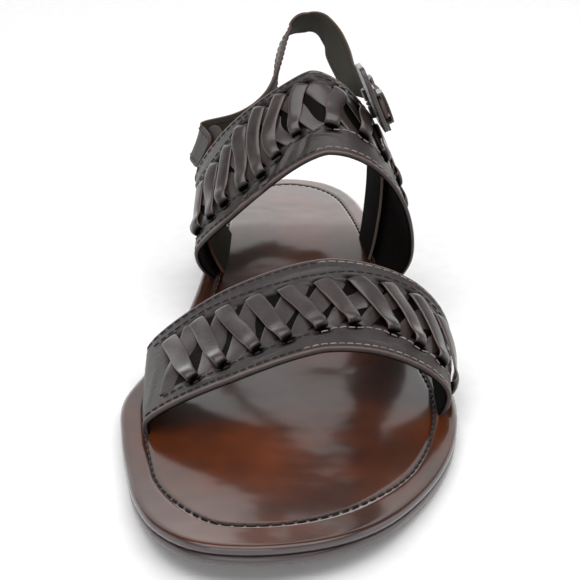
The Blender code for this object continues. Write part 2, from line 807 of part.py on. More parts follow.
def cut(target: bpy.types.Object, cutter: bpy.types.Object) -> None:
    """Take a cutter's volume out of a piece."""
    change = target.modifiers.new(f"cut_{cutter.name}", "BOOLEAN")
    change.operation = "DIFFERENCE"
    change.solver = "EXACT"
    change.object = cutter


def build_straps(last: Last, footbed: bpy.types.Object) -> Strap:
    """Make the woven straps and the stays, and cut their slots; return the band's strap."""
    tuck = FOOTBED_THICKNESS - JOINT_GAP
    front = Strap(last, FRONT_STRAP_EDGES)
    band = Strap(last, INSTEP_BAND_EDGES, offset=STAY_THICKNESS + LAYER_GAP)
    for name, strap in (("front_strap", front), ("instep_band", band)):
        along = places_along(strap, 0.0, 1.0, tuck)
        outline, inner = rectangle(along, spaced(0.0, strap.width, STEP_OVER))
        strap_solid(name, strap.place, outline, inner, STRAP_THICKNESS, weave(strap, WEAVES[name]))
        for side, lateral in (("medial", False), ("lateral", True)):
            inside = -SLOT_CLEARANCE - (strap.offset if strap.offset else 0.0)
            cut(footbed, slot_cutter(f"slot_{name}_{side}", strap, lateral, inside, STRAP_THICKNESS + SLOT_CLEARANCE))
    stays = (
        ("medial_stay", Strap(last, MEDIAL_STAY_EDGES), 0.0, MEDIAL_STAY_REACH),
        ("lateral_stay", Strap(last, LATERAL_STAY_EDGES), LATERAL_STAY_REACH, 1.0),
    )
    for name, stay, start, stop in stays:
        along = places_along(stay, start, stop, tuck)
        outline, inner = rectangle(along, spaced(0.0, stay.width, STEP_OVER))
        strap_solid(name, stay.place, outline, inner, STAY_THICKNESS)
    return band


def extruded(name: str, frame: Frame, profile: Sequence[tuple[float, float]], low: float, high: float,
             turned: bool = False) -> bpy.types.Object:
    """Extrude a closed profile in the closure's frame.

    Args:
        name: Name of the piece.
        frame: The frame that the profile is drawn in.
        profile: Corners as (forward, out), or as (up, out) where it is turned.
        low: Start of the extrusion, along up, or along forward where it is turned.
        high: End of the extrusion.
        turned: Whether the profile is drawn across the tab.

    Returns:
        The finished object.
    """
    points = []
    for level in (low, high):
        for first, out in profile:
            points.append(frame.place(level, first, out) if turned else frame.place(first, level, out))
    count = len(profile)
    faces = [list(range(count)), list(range(count, 2 * count))]
    faces += [[i, (i + 1) % count, count + (i + 1) % count, count + i] for i in range(count)]
    return mesh_object(name, points, faces)


def arc(centre: tuple[float, float], radius: float, start: float, stop: float, steps: int) -> list:
    """Points on an arc, from one angle in degrees to another."""
    return [
        (centre[0] + radius * math.cos(math.radians(a)), centre[1] + radius * math.sin(math.radians(a)))
        for a in np.linspace(start, stop, steps)
    ]


def tube(name: str, path: np.ndarray, radius: float, closed: bool) -> bpy.types.Object:
    """Sweep a round wire along a path, as one closed solid."""
    count = len(path)
    ahead = np.roll(path, -1, axis=0) - np.roll(path, 1, axis=0)
    if not closed:
        ahead[0], ahead[-1] = path[1] - path[0], path[-1] - path[-2]
    ahead /= np.linalg.norm(ahead, axis=1, keepdims=True)
    centre = path.mean(axis=0)
    plane = unit(np.linalg.svd(path - centre)[2][2])
    points, faces = [], []
    for point, direction in zip(path, ahead):
        side = unit(np.cross(direction, plane))
        up = np.cross(side, direction)
        for k in range(ROUND_STEPS):
            angle = 2 * math.pi * k / ROUND_STEPS
            points.append(point + radius * (side * math.cos(angle) + up * math.sin(angle)))
    for i in range(count if closed else count - 1):
        j = (i + 1) % count
        for k in range(ROUND_STEPS):
            n = (k + 1) % ROUND_STEPS
            faces.append([i * ROUND_STEPS + k, i * ROUND_STEPS + n, j * ROUND_STEPS + n, j * ROUND_STEPS + k])
    if not closed:
        faces.append(list(range(ROUND_STEPS)))
        faces.append(list(range((count - 1) * ROUND_STEPS, count * ROUND_STEPS)))
    return mesh_object(name, points, faces)


@dataclass(frozen=True)
class Buckle:
    """Places of the buckle in the closure's frame, worked out from its wire and the tab."""

    radius: float = BUCKLE_WIRE / 2
    bore: float = BUCKLE_WIRE / 2 + JOINT_GAP

    @property
    def front(self) -> tuple[float, float]:
        """Centre of the front bar, in the tab's eye."""
        return (-self.bore - EYE_WALL, -TAB_THICKNESS / 2)

    @property
    def ring(self) -> float:
        """Outer radius of the prong's ring round the front bar."""
        return self.bore + PRONG_DIAMETER

    @property
    def eye_top(self) -> float:
        """Outermost height of the eye and of the prong's ring."""
        return self.front[1] + max(self.bore + EYE_WALL, self.ring)

    @property
    def rear(self) -> tuple[float, float]:
        """Centre of the rear bar, over the strap."""
        return (self.front[0] - BUCKLE_OPENING, HEEL_STRAP_THICKNESS + JOINT_GAP + self.radius)


def build_closure(frame: Frame) -> None:
    """Make the lateral tab, the buckle frame, its prong and the keeper."""
    buckle = Buckle()
    front, rear = buckle.front, buckle.rear
    outer = buckle.bore + EYE_WALL
    low, high = -TAB_BELOW, TAB_ABOVE
    turn = math.degrees(math.asin((TAB_THICKNESS / 2) / outer))
    plate = [(TAB_LENGTH, -TAB_THICKNESS), (TAB_LENGTH, 0.0)]
    eye_out = arc(front, outer, turn, 360 - turn, 2 * ROUND_STEPS)
    bore = arc(front, buckle.bore, 4, 356, 2 * ROUND_STEPS)
    profile = plate + eye_out + [(front[0] + outer + 0.002, -TAB_THICKNESS)]
    tab = extruded("lateral_tab", frame, profile, low, high)
    bar_bore = extruded("cutter_bar_bore", frame, bore, low - CUTTER_MARGIN, high + CUTTER_MARGIN)
    behind, ahead = front[0] - outer - CUTTER_MARGIN, front[0] + buckle.ring + 2 * JOINT_GAP
    below, above = front[1] - outer - CUTTER_MARGIN, front[1] + outer + CUTTER_MARGIN
    notch_profile = [(behind, below), (ahead, below), (ahead, above), (behind, above)]
    notch = extruded("cutter_prong_notch", frame, notch_profile, -PRONG_NOTCH / 2, PRONG_NOTCH / 2)
    eye_side = STRAP_END_WIDTH / 2 + BUCKLE_SIDE_PLAY
    sides = [
        extruded(f"cutter_eye_side_{name}", frame, notch_profile, start, stop)
        for name, start, stop in (
            ("low", low - CUTTER_MARGIN, -eye_side), ("high", eye_side, high + CUTTER_MARGIN),
        )
    ]
    for cutter in [bar_bore, notch] + sides:
        cut(tab, as_cutter(cutter))
    reach = eye_side + JOINT_GAP + buckle.radius
    corner = 2 * buckle.radius
    ring = []
    for sign_up, sign_far, start in ((1, 0, -90), (1, 1, 0), (-1, 1, 90), (-1, 0, 180)):
        up_centre = sign_up * (reach - corner)
        far_centre = corner if sign_far == 0 else BUCKLE_OPENING - corner
        for angle in np.radians(np.linspace(start, start + 90, 6)):
            up = up_centre + corner * math.cos(angle)
            far = far_centre + corner * math.sin(angle)
            share = far / BUCKLE_OPENING
            ring.append(frame.place(front[0] - far, up, front[1] + (rear[1] - front[1]) * share))
    tube("buckle_frame", np.array(ring), buckle.radius, True)
    loop = buckle.bore + PRONG_DIAMETER / 2
    tip = (rear[0] - 0.0015, rear[1] + buckle.radius + PRONG_DIAMETER / 2 + JOINT_GAP)
    pin = arc(front, loop, -200, 80, 14) + [
        (front[0] + (rear[0] - front[0]) * 0.40, front[1] + loop + PRONG_DIAMETER),
        (rear[0] + PRONG_DIAMETER, tip[1]),
        tip,
    ]
    tube("buckle_prong", np.array([frame.place(f, 0.0, o) for f, o in pin]), PRONG_DIAMETER / 2, False)
    inner_half = STRAP_END_WIDTH / 2 + JOINT_GAP
    rise = HEEL_STRAP_THICKNESS + KEEPER_PLAY
    thick = KEEPER_THICKNESS
    foot = JOINT_GAP / 3

    def bridge(width: float, height: float, base: float) -> list[tuple[float, float]]:
        crown = [(width * c, foot + height * (1 - KEEPER_CROWN * (1 - s))) for c, s in arc((0.0, 0.0), 1.0, 15, 165, 7)]
        return [(width, base)] + crown + [(-width, base)]

    end = inner_half + thick + KEEPER_FLANGE
    keeper = (
        [(end, foot), (end, foot + thick)]
        + bridge(inner_half + thick, rise + thick, foot + thick)
        + [(-end, foot + thick), (-end, foot)]
        + bridge(inner_half, rise, foot)[::-1]
    )
    extruded("keeper", frame, keeper, KEEPER_PLACE, KEEPER_PLACE + KEEPER_LENGTH, turned=True)


def heel_strap(stay: Strap, frame: Frame) -> Ribbon:
    """Lay the heel strap from the ear, round the heel, to the closure."""
    points, across, widths = [], [], []
    seam = stay.length * MEDIAL_STAY_REACH - HEEL_STRAP_WIDTH / 2 - SEAM_MARGIN
    for share, lift in EAR_STEPS:
        over = stay.width - EAR_SEAM * (1 - share)
        flat = np.array([seam - SEAM_MARGIN, seam + SEAM_MARGIN]), np.array([over, over])
        inner = stay.place(*flat, np.full(2, STAY_THICKNESS + JOINT_GAP * (1 + lift)))
        points.append(inner[0])
        across.append(unit(inner[1] - inner[0]))
        widths.append(HEEL_STRAP_WIDTH)
    free = np.array([
        (row[1] * BALL_WIDTH / 2, to_y(row[0] * SOLE_LENGTH), row[2] * INSTEP_HEIGHT) for row in HEEL_STRAP_PATH
    ])
    for point, ahead, row in zip(free, np.gradient(free, axis=0), HEEL_STRAP_PATH):
        outward = unit(np.array([-ahead[1], ahead[0], 0.0]))
        lean = math.radians(row[3])
        points.append(point)
        across.append(np.array([0.0, 0.0, math.cos(lean)]) + outward * math.sin(lean))
        widths.append(HEEL_STRAP_WIDTH + (STRAP_END_WIDTH - HEEL_STRAP_WIDTH) * row[4])
    buckle = Buckle()
    over_eye = buckle.eye_top + 1.5 * JOINT_GAP
    for forward, out in (
        (buckle.rear[0] - STRAP_ENTRY, -JOINT_GAP),
        (buckle.rear[0], 0.0),
        (buckle.front[0] - buckle.ring, over_eye),
        (buckle.front[0] + buckle.bore, over_eye),
        (buckle.front[0] + STRAP_LANDING, 1.5 * JOINT_GAP),
        (KEEPER_PLACE, 1.5 * JOINT_GAP),
        (STRAP_TAIL, 1.5 * JOINT_GAP),
    ):
        points.append(frame.place(forward, 0.0, out))
        across.append(frame.up)
        widths.append(STRAP_END_WIDTH)
    return Ribbon(np.array(points), np.array(across), np.array(widths))


def build_heel_strap(stay: Strap, frame: Frame) -> None:
    """Make the heel strap with its rounded tail and the hole for the prong."""
    ribbon = heel_strap(stay, frame)
    width = HEEL_STRAP_WIDTH
    end = STRAP_END_WIDTH / 2
    straight = ribbon.length - end
    rows = spaced(0.0, straight, 0.0050)
    over = spaced(0.0, width, width / 3)
    tail = [(straight + end * math.cos(a), width / 2 + width / 2 * math.sin(a))
            for a in np.linspace(-math.pi / 2, math.pi / 2, 9)]
    outline = [(x, 0.0) for x in rows[:-1]] + tail + [(x, width) for x in rows[-2::-1]]
    outline += [(0.0, y) for y in over[-2:0:-1]]
    inner = [(x, y) for x in rows[1:] for y in over[1:-1]]
    strap = strap_solid("heel_strap", ribbon.place, outline, inner, HEEL_STRAP_THICKNESS)
    buckle = Buckle()
    start = buckle.rear[0] + 0.0008
    stop = buckle.front[0] - 0.0008
    half = PRONG_HOLE / 2
    hole = (
        arc((stop - half, 0.0), half, -90, 90, 6) + arc((start + half, 0.0), half, 90, 270, 6)
    )
    points, count = [], len(hole)
    for out in (-0.004, 0.009):
        points += [frame.place(f, u, out) for f, u in hole]
    faces = [list(range(count)), list(range(count, 2 * count))]
    faces += [[i, (i + 1) % count, count + (i + 1) % count, count + i] for i in range(count)]
    cut(strap, as_cutter(mesh_object("cutter_prong_hole", points, faces)))


def main() -> None:
    """Build every piece of the sandal."""
    logging.basicConfig(level=logging.INFO)
    clear_scene()
    outline = SoleOutline()
    last = Last()
    footbed = build_sole(outline)
    build_straps(last, footbed)
    frame = closure_frame()
    build_closure(frame)
    build_heel_strap(Strap(last, MEDIAL_STAY_EDGES), frame)
    for name, finish in FINISHES.items():
        bpy.data.objects[name].data.materials.append(finish.make())
    LOG.info("pieces: %s", ", ".join(sorted(thing.name for thing in bpy.data.objects)))


if __name__ == "__main__":
    main()
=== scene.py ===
"""Looks of a woven leather sandal, dressed round its packed construction.

One left shoe stands empty on a pale floor, seen from the toe. Units are metres, +Z is up, the
toe points along -Y and +X is the lateral side. Every strap is a function of a place along it, a
place over its width and a distance out from the foot form, so walls, strips and stitches share
one surface.
"""
from __future__ import annotations

import logging
import math
from dataclasses import dataclass, field
from enum import Enum
from typing import Callable, Sequence

import bmesh
import bpy
import numpy as np
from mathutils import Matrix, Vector

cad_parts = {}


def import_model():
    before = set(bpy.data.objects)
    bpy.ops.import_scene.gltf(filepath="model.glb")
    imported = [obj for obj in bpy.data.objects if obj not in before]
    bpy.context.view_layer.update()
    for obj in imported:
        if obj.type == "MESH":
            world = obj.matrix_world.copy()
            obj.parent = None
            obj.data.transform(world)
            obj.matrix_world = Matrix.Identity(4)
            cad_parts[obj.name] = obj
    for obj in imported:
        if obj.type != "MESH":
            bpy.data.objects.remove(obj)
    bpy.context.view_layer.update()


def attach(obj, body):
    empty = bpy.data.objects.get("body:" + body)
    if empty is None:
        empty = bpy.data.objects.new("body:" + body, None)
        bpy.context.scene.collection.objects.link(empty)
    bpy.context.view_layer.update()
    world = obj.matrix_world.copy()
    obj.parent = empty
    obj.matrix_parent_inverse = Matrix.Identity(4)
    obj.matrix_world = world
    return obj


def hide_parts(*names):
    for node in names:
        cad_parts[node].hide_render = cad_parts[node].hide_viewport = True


LOG = logging.getLogger("sandal_looks")
MM = 0.001
Array = np.ndarray
Piece = bpy.types.Object
Socket = bpy.types.NodeSocket


class Side(Enum):
    """The two sides of the foot, as the columns of the foot form name them."""

    MEDIAL = "medial"
    LATERAL = "lateral"


class Face(Enum):
    """The two faces of a strap, with the sign of the way out of each."""

    OUTER = 1
    INNER = -1


@dataclass(frozen=True)
class ShoeSizes:
    """Driving sizes of the shoe, as the construction has them."""

    sole_length: float = 0.295
    ball_width: float = 0.116
    instep_height: float = 0.0765
    heel_rise: float = 0.014
    toe_spring: float = 0.007
    outsole: float = 0.0037
    footbed: float = 0.0030
    top_lift: float = 0.0045
    strap: float = 0.0018
    stay: float = 0.0014
    heel_strap: float = 0.0017
    joint_gap: float = 0.0003
    layer_gap: float = 0.0010
    heel_seat: float = 0.115
    heel_breast: float = 0.235
    arch_start: float = 0.22
    tread_start: float = 0.62
    tread_end: float = 0.76
    stay_reach: float = 0.27
    lateral_reach: float = 0.70

    @property
    def half_ball(self) -> float:
        """Half the width over the ball."""
        return self.ball_width / 2


SIZES = ShoeSizes()

# Outline of the sole: station (share of length), across (share of half the ball width)
SOLE_OUTLINE = (
    (0.000, 0.000), (0.018, 0.280), (0.055, 0.450), (0.100, 0.550), (0.170, 0.630), (0.250, 0.690),
    (0.360, 0.760), (0.470, 0.836), (0.580, 0.948), (0.680, 1.012), (0.760, 0.966), (0.830, 0.853),
    (0.900, 0.664), (0.953, 0.448), (0.985, 0.198), (1.000, -0.150), (0.990, -0.440), (0.955, -0.638),
    (0.900, -0.776), (0.830, -0.870), (0.760, -0.945), (0.690, -0.983), (0.600, -0.865), (0.500, -0.720),
    (0.400, -0.635), (0.300, -0.600), (0.200, -0.600), (0.100, -0.545), (0.055, -0.450), (0.018, -0.280),
)

# Sections of the foot form: stations, places across and heights as shares of the sole length,
# half the ball width and the instep height; fulness is an exponent
LAST_COLUMNS = (
    "station", "crest_across", "crest_height",
    "medial_foot", "medial_belly", "medial_low", "medial_fulness",
    "lateral_foot", "lateral_belly", "lateral_low", "lateral_fulness",
)
LAST_SECTIONS = (
    (0.200, 0.07, 1.070, -0.430, -0.700, 0.380, 1.35, 0.500, 0.560, 0.360, 1.70),
    (0.298, 0.17, 0.960, -0.430, -0.600, 0.330, 1.28, 0.560, 0.650, 0.480, 1.54),
    (0.424, 0.28, 0.735, -0.480, -0.575, 0.183, 1.28, 0.665, 0.810, 0.210, 1.96),
    (0.576, 0.26, 0.475, -0.770, -0.855, 0.092, 1.38, 0.900, 1.010, 0.105, 2.00),
    (0.719, 0.21, 0.322, -0.800, -0.812, 0.040, 1.32, 0.880, 0.920, 0.078, 1.70),
    (0.780, 0.21, 0.276, -0.760, -0.764, 0.040, 1.30, 0.840, 0.862, 0.052, 1.60),
)

# Edges of the straps: share of the way round, station of the front edge, of the rear edge
FRONT_STRAP_EDGES = (
    (0.00, 0.766, 0.603), (0.12, 0.759, 0.593), (0.30, 0.750, 0.576), (0.50, 0.734, 0.570),
    (0.75, 0.720, 0.573), (0.90, 0.720, 0.586), (1.00, 0.725, 0.603),
)
INSTEP_BAND_EDGES = (
    (0.00, 0.393, 0.254), (0.08, 0.414, 0.254), (0.25, 0.437, 0.271), (0.50, 0.427, 0.298),
    (0.75, 0.427, 0.292), (0.90, 0.424, 0.275), (1.00, 0.414, 0.264),
)
MEDIAL_STAY_EDGES = ((0.00, 0.380, 0.264), (0.12, 0.362, 0.218), (0.30, 0.345, 0.200), (1.00, 0.345, 0.200))
LATERAL_STAY_EDGES = ((0.00, 0.320, 0.235), (0.70, 0.320, 0.235), (0.90, 0.330, 0.252), (1.00, 0.345, 0.275))

# Heel strap, free part: station and across as shares, height as a share of the instep height,
# lean of its upper edge outwards in degrees, and how far it has narrowed to its buckle end
HEEL_STRAP_PATH = (
    (0.185, -0.460, 0.780, 0.0, 0.0), (0.140, -0.280, 0.800, 0.0, 0.0), (0.100, -0.140, 0.865, -3.0, 0.0),
    (0.060, -0.082, 0.990, -8.0, 0.0), (0.020, -0.045, 1.135, -20.0, 0.0), (-0.005, 0.035, 1.250, -46.0, 0.0),
    (-0.008, 0.165, 1.292, -50.0, 0.0), (0.014, 0.298, 1.265, -8.0, 0.0), (0.050, 0.365, 1.203, 18.0, 0.1),
    (0.095, 0.420, 1.140, 26.0, 0.4), (0.145, 0.465, 1.085, 26.0, 0.8),
)
# Heel strap on the ear: share of the way over the seam, lift off the ear in joint gaps
EAR_STEPS = ((0.0, 0.0), (0.5, 0.5), (1.0, 2.0), (1.25, 3.0))


def smooth_curve(xs: Sequence[float], ys: Sequence[float], at: Array) -> Array:
    """Evaluate a cubic through known points that never overshoots them.

    Args:
        xs: Rising places of the known values.
        ys: Known values.
        at: Places to evaluate; beyond the ends the end values hold.

    Returns:
        The values at those places.
    """
    xs, ys, at = (np.asarray(values, float) for values in (xs, ys, at))
    step = np.diff(xs)
    slope = np.diff(ys) / step
    tangent = np.zeros_like(ys)
    tangent[0], tangent[-1] = slope[0], slope[-1]
    if len(xs) > 2:
        before, after = slope[:-1], slope[1:]
        near, far = 2 * step[1:] + step[:-1], step[1:] + 2 * step[:-1]
        same = before * after > 0
        safe_before = np.where(same, before, 1.0)
        safe_after = np.where(same, after, 1.0)
        tangent[1:-1] = np.where(same, (near + far) / (near / safe_before + far / safe_after), 0.0)
    i = np.clip(np.searchsorted(xs, at) - 1, 0, len(xs) - 2)
    t = np.clip((at - xs[i]) / step[i], 0.0, 1.0)
    rise = t * t * (3 - 2 * t)
    pull = step[i] * (tangent[i] * t * (1 - t) ** 2 - tangent[i + 1] * t * t * (1 - t))
    return ys[i] * (1 - rise) + ys[i + 1] * rise + pull


def ramp(value: Array, low: float, high: float) -> Array:
    """Rise smoothly from 0 at low to 1 at high: three squares less two cubes of the share."""
    t = np.clip((value - low) / (high - low), 0.0, 1.0)
    return t * t * (3 - 2 * t)


def hump(value: Array, middle: float | Array, half: float | Array) -> Array:
    """A soft bump of height 1 at the middle that is near 0 one half width away."""
    return np.exp(-2.5 * ((value - middle) / half) ** 2)


def unit(vector: Array) -> Array:
    """The vectors at length one, along the last axis."""
    return vector / np.linalg.norm(vector, axis=-1, keepdims=True)


def run_of(points: Array) -> Array:
    """Length of the path from its first point to each point."""
    return np.concatenate([[0.0], np.cumsum(np.linalg.norm(np.diff(points, axis=0), axis=1))])


def squared_off(wave: Array, power: float) -> Array:
    """A sine or cosine flattened towards a square wave: its size to a power, with its sign."""
    return np.sign(wave) * np.abs(wave) ** power


def to_y(station: Array) -> Array:
    """Turn a station from the back of the heel into the world's Y."""
    return SIZES.heel_seat * SIZES.sole_length - station


def underside(station: Array) -> Array:
    """Height of the outsole's lower face: heel rise, arch, flat tread, then a squared toe spring.

    Args:
        station: Distance from the back of the heel.

    Returns:
        Height above the floor.
    """
    share = np.asarray(station) / SIZES.sole_length
    arch = ramp(share, SIZES.arch_start, SIZES.tread_start)
    toe = np.clip((share - SIZES.tread_end) / (1 - SIZES.tread_end), 0, 1)
    return SIZES.heel_rise * (1 - arch) + SIZES.toe_spring * toe ** 2


def footbed_top(station: Array) -> Array:
    """Height of the footbed's upper face."""
    return underside(station) + SIZES.outsole + SIZES.joint_gap + SIZES.footbed


def linear(colour: str) -> tuple[float, float, float, float]:
    """Turn an sRGB hex colour into linear values with full alpha."""
    srgb = [int(colour[i:i + 2], 16) / 255 for i in (0, 2, 4)]
    return (*(c / 12.92 if c <= 0.04045 else ((c + 0.055) / 1.055) ** 2.4 for c in srgb), 1.0)


def connect(tree: bpy.types.NodeTree, node: bpy.types.Node, inputs: dict) -> None:
    """Fill a node's inputs: a socket is linked, anything else is set.

    Args:
        tree: The material's node tree.
        node: The node.
        inputs: Values by input name.
    """
    for name, value in inputs.items():
        if isinstance(value, Socket):
            tree.links.new(value, node.inputs[name])
        else:
            node.inputs[name].default_value = value


def add_node(
    tree: bpy.types.NodeTree, kind: str, inputs: dict | None = None,
    stops: Sequence[tuple[float, str]] = (), **settings: object,
) -> bpy.types.Node:
    """Add a node with its settings and links.

    Args:
        tree: The material's node tree.
        kind: The node's type.
        inputs: Sockets or values by input name.
        stops: Places and hex colours, where the node is a colour ramp.
        settings: Properties of the node.

    Returns:
        The new node.
    """
    node = tree.nodes.new(kind)
    for name, value in settings.items():
        setattr(node, name, value)
    connect(tree, node, inputs or {})
    for element, (place, colour) in zip(node.color_ramp.elements if stops else (), stops):
        element.position = place
        element.color = linear(colour)
    return node


def grid_object(
    name: str, points: Array, caps: bool = True, weld: bool = False,
    attributes: dict[str, Array] | None = None,
) -> Piece:
    """Make closed tubes from grids of points.

    Each grid has rows along the tube and columns round it; the columns wrap. The faces are
    turned outwards by the sign of the volume that they enclose.

    Args:
        name: Name of the piece.
        points: Places by tube, row and column, shape (tubes, rows, columns, 3).
        caps: Whether each end is closed by one face.
        weld: Whether coinciding points are joined, for ends that close to a line.
        attributes: Named values for each point.

    Returns:
        The finished object.
    """
    tubes, rows, columns = points.shape[:3]
    index = np.arange(tubes * rows * columns).reshape(tubes, rows, columns)
    ahead = np.roll(index, -1, axis=2)
    quads = np.stack([index[:, :-1], ahead[:, :-1], ahead[:, 1:], index[:, 1:]], -1).reshape(-1, 4)
    flat = points.reshape(-1, 3)
    first = quads[: len(quads) // tubes]
    corner = flat[first] - flat[first[0, 0]]
    volume = (
        np.einsum("ij,ij->i", corner[:, 0], np.cross(corner[:, 1], corner[:, 2]))
        + np.einsum("ij,ij->i", corner[:, 0], np.cross(corner[:, 2], corner[:, 3]))
    ).sum()
    outward = volume > 0
    faces = (quads if outward else quads[:, ::-1]).tolist()
    if caps:
        for tube in index:
            start, end = tube[0].tolist(), tube[-1].tolist()
            faces.append(start[::-1] if outward else start)
            faces.append(end if outward else end[::-1])
    mesh = bpy.data.meshes.new(name)
    mesh.from_pydata(flat.tolist(), [], faces)
    for label, values in (attributes or {}).items():
        values = np.broadcast_to(values, points.shape[:3]).astype(np.float32)
        mesh.attributes.new(label, "FLOAT", "POINT").data.foreach_set("value", values.ravel())
    if weld:
        work = bmesh.new()
        work.from_mesh(mesh)
        bmesh.ops.remove_doubles(work, verts=work.verts, dist=1e-7)
        bmesh.ops.dissolve_degenerate(work, edges=work.edges, dist=1e-8)
        work.to_mesh(mesh)
        work.free()
    mesh.polygons.foreach_set("use_smooth", np.ones(len(mesh.polygons), bool))
    mesh.update()
    thing = bpy.data.objects.new(name, mesh)
    bpy.context.scene.collection.objects.link(thing)
    return thing


def dress(piece: Piece, material: bpy.types.Material, slot: str, *nodes: str) -> Piece:
    """Give a piece its material and hide the nodes that it stands for.

    Args:
        piece: The bare piece.
        material: Its material.
        slot: Not used.
        nodes: Nodes of the construction that the piece replaces.

    Returns:
        The same piece.
    """
    piece.data.materials.append(material)
    if nodes:
        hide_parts(*nodes)
    return piece


def start_material(name: str) -> tuple[bpy.types.Material, bpy.types.NodeTree, bpy.types.Node, Socket]:
    """Start a material.

    Args:
        name: Name of the material.

    Returns:
        The material, its tree, its shader and the place on the piece in object coordinates.
    """
    material = bpy.data.materials.new(name)
    material.use_nodes = True
    tree = material.node_tree
    place = add_node(tree, "ShaderNodeTexCoord").outputs["Object"]
    return material, tree, tree.nodes["Principled BSDF"], place


@dataclass(frozen=True)
class Leather:
    """Dyed leather: colour in soft clouds, fine grain, raw cut edges and a rough flesh side.

    Point attributes steer it: raw marks cut edges, inside marks the flesh side and painted_shade
    marks places that light barely reaches, such as the slits that the strips go into, where the colour
    is painted near black as shade and the gloss fades.
    """

    name: str
    colour: str
    light: str
    raw: str = "5A3B31"
    flesh: str = "4A4640"
    # Colour of the painted shade in slits, pits and strip ends
    shade: str = "050303"
    roughness: float = 0.42
    roughness_spread: tuple[float, float] = (-0.07, 0.10)
    specular: float = 0.5
    coat: float = 0.15
    coat_roughness: float = 0.3
    grain_mm: float = 0.9
    pore_mm: float = 0.315
    grain_depth_mm: float = 0.10
    crease_mm: float = 3.2
    crease_depth_mm: float = 0.22
    clouds_mm: float = 9.0
    inner_dull: float = 0.6
    inner_roughness: float = 0.35

    def material(self) -> bpy.types.Material:
        """Make the material.

        Returns:
            The material, whose gloss fades on the flesh side and under the painted shade.
        """
        material, tree, shader, place = start_material(self.name)
        marks = {
            name: add_node(tree, "ShaderNodeAttribute", attribute_name=name).outputs["Fac"]
            for name in ("raw", "inside", "painted_shade")
        }
        clouds = add_node(tree, "ShaderNodeTexNoise", {
            "Vector": place, "Scale": 1 / (self.clouds_mm * MM), "Detail": 5.0, "Roughness": 0.6,
        }).outputs["Fac"]
        colour = add_node(
            tree, "ShaderNodeValToRGB", {"Fac": clouds}, ((0.32, self.colour), (0.72, self.light)),
        ).outputs["Color"]
        # Flesh and raw edges are the leather's own colours; the last mix paints shade where painted_shade is
        # set
        for name, other in (("inside", self.flesh), ("raw", self.raw), ("painted_shade", self.shade)):
            colour = add_node(tree, "ShaderNodeMix", {
                0: marks[name], 6: colour, 7: linear(other),
            }, data_type="RGBA").outputs[2]
        pores = add_node(tree, "ShaderNodeTexNoise", {
            "Vector": place, "Scale": 1 / (self.pore_mm * MM), "Detail": 3.0,
        }).outputs["Fac"]
        cells = add_node(tree, "ShaderNodeTexVoronoi", {
            "Vector": place, "Scale": 1 / (self.grain_mm * MM),
        }, feature="DISTANCE_TO_EDGE").outputs["Distance"]
        grain = add_node(tree, "ShaderNodeMath", {0: cells, 1: pores}, operation="ADD").outputs["Value"]
        wrinkles = add_node(tree, "ShaderNodeTexNoise", {
            "Vector": place, "Scale": 1 / (self.crease_mm * MM), "Detail": 2.0, "Distortion": 1.2,
        }).outputs["Fac"]
        slow = add_node(tree, "ShaderNodeBump", {
            "Height": wrinkles, "Distance": self.crease_depth_mm * MM, "Strength": 0.9,
        })
        bump = add_node(tree, "ShaderNodeBump", {
            "Height": grain, "Distance": self.grain_depth_mm * MM, "Strength": 0.8,
            "Normal": slow.outputs["Normal"],
        })
        low, high = (self.roughness + change for change in self.roughness_spread)
        shine = add_node(tree, "ShaderNodeMapRange", {"Value": clouds, "To Min": low, "To Max": high})
        dull = add_node(tree, "ShaderNodeMath", {
            0: marks["inside"], 1: self.inner_roughness, 2: shine.outputs["Result"],
        }, operation="MULTIPLY_ADD")
        # Gloss fades on the flesh side and fully under the painted shade
        hidden = add_node(tree, "ShaderNodeMath", {
            0: marks["inside"], 1: self.inner_dull, 2: marks["painted_shade"],
        }, operation="MULTIPLY_ADD", use_clamp=True).outputs["Value"]
        for socket, full in (("Specular IOR Level", self.specular), ("Coat Weight", self.coat)):
            left = add_node(tree, "ShaderNodeMapRange", {"Value": hidden, "To Min": full, "To Max": 0.0})
            tree.links.new(left.outputs["Result"], shader.inputs[socket])
        connect(tree, shader, {
            "Base Color": colour, "Normal": bump.outputs["Normal"], "Roughness": dull.outputs["Value"],
            "Coat Roughness": self.coat_roughness,
        })
        return material


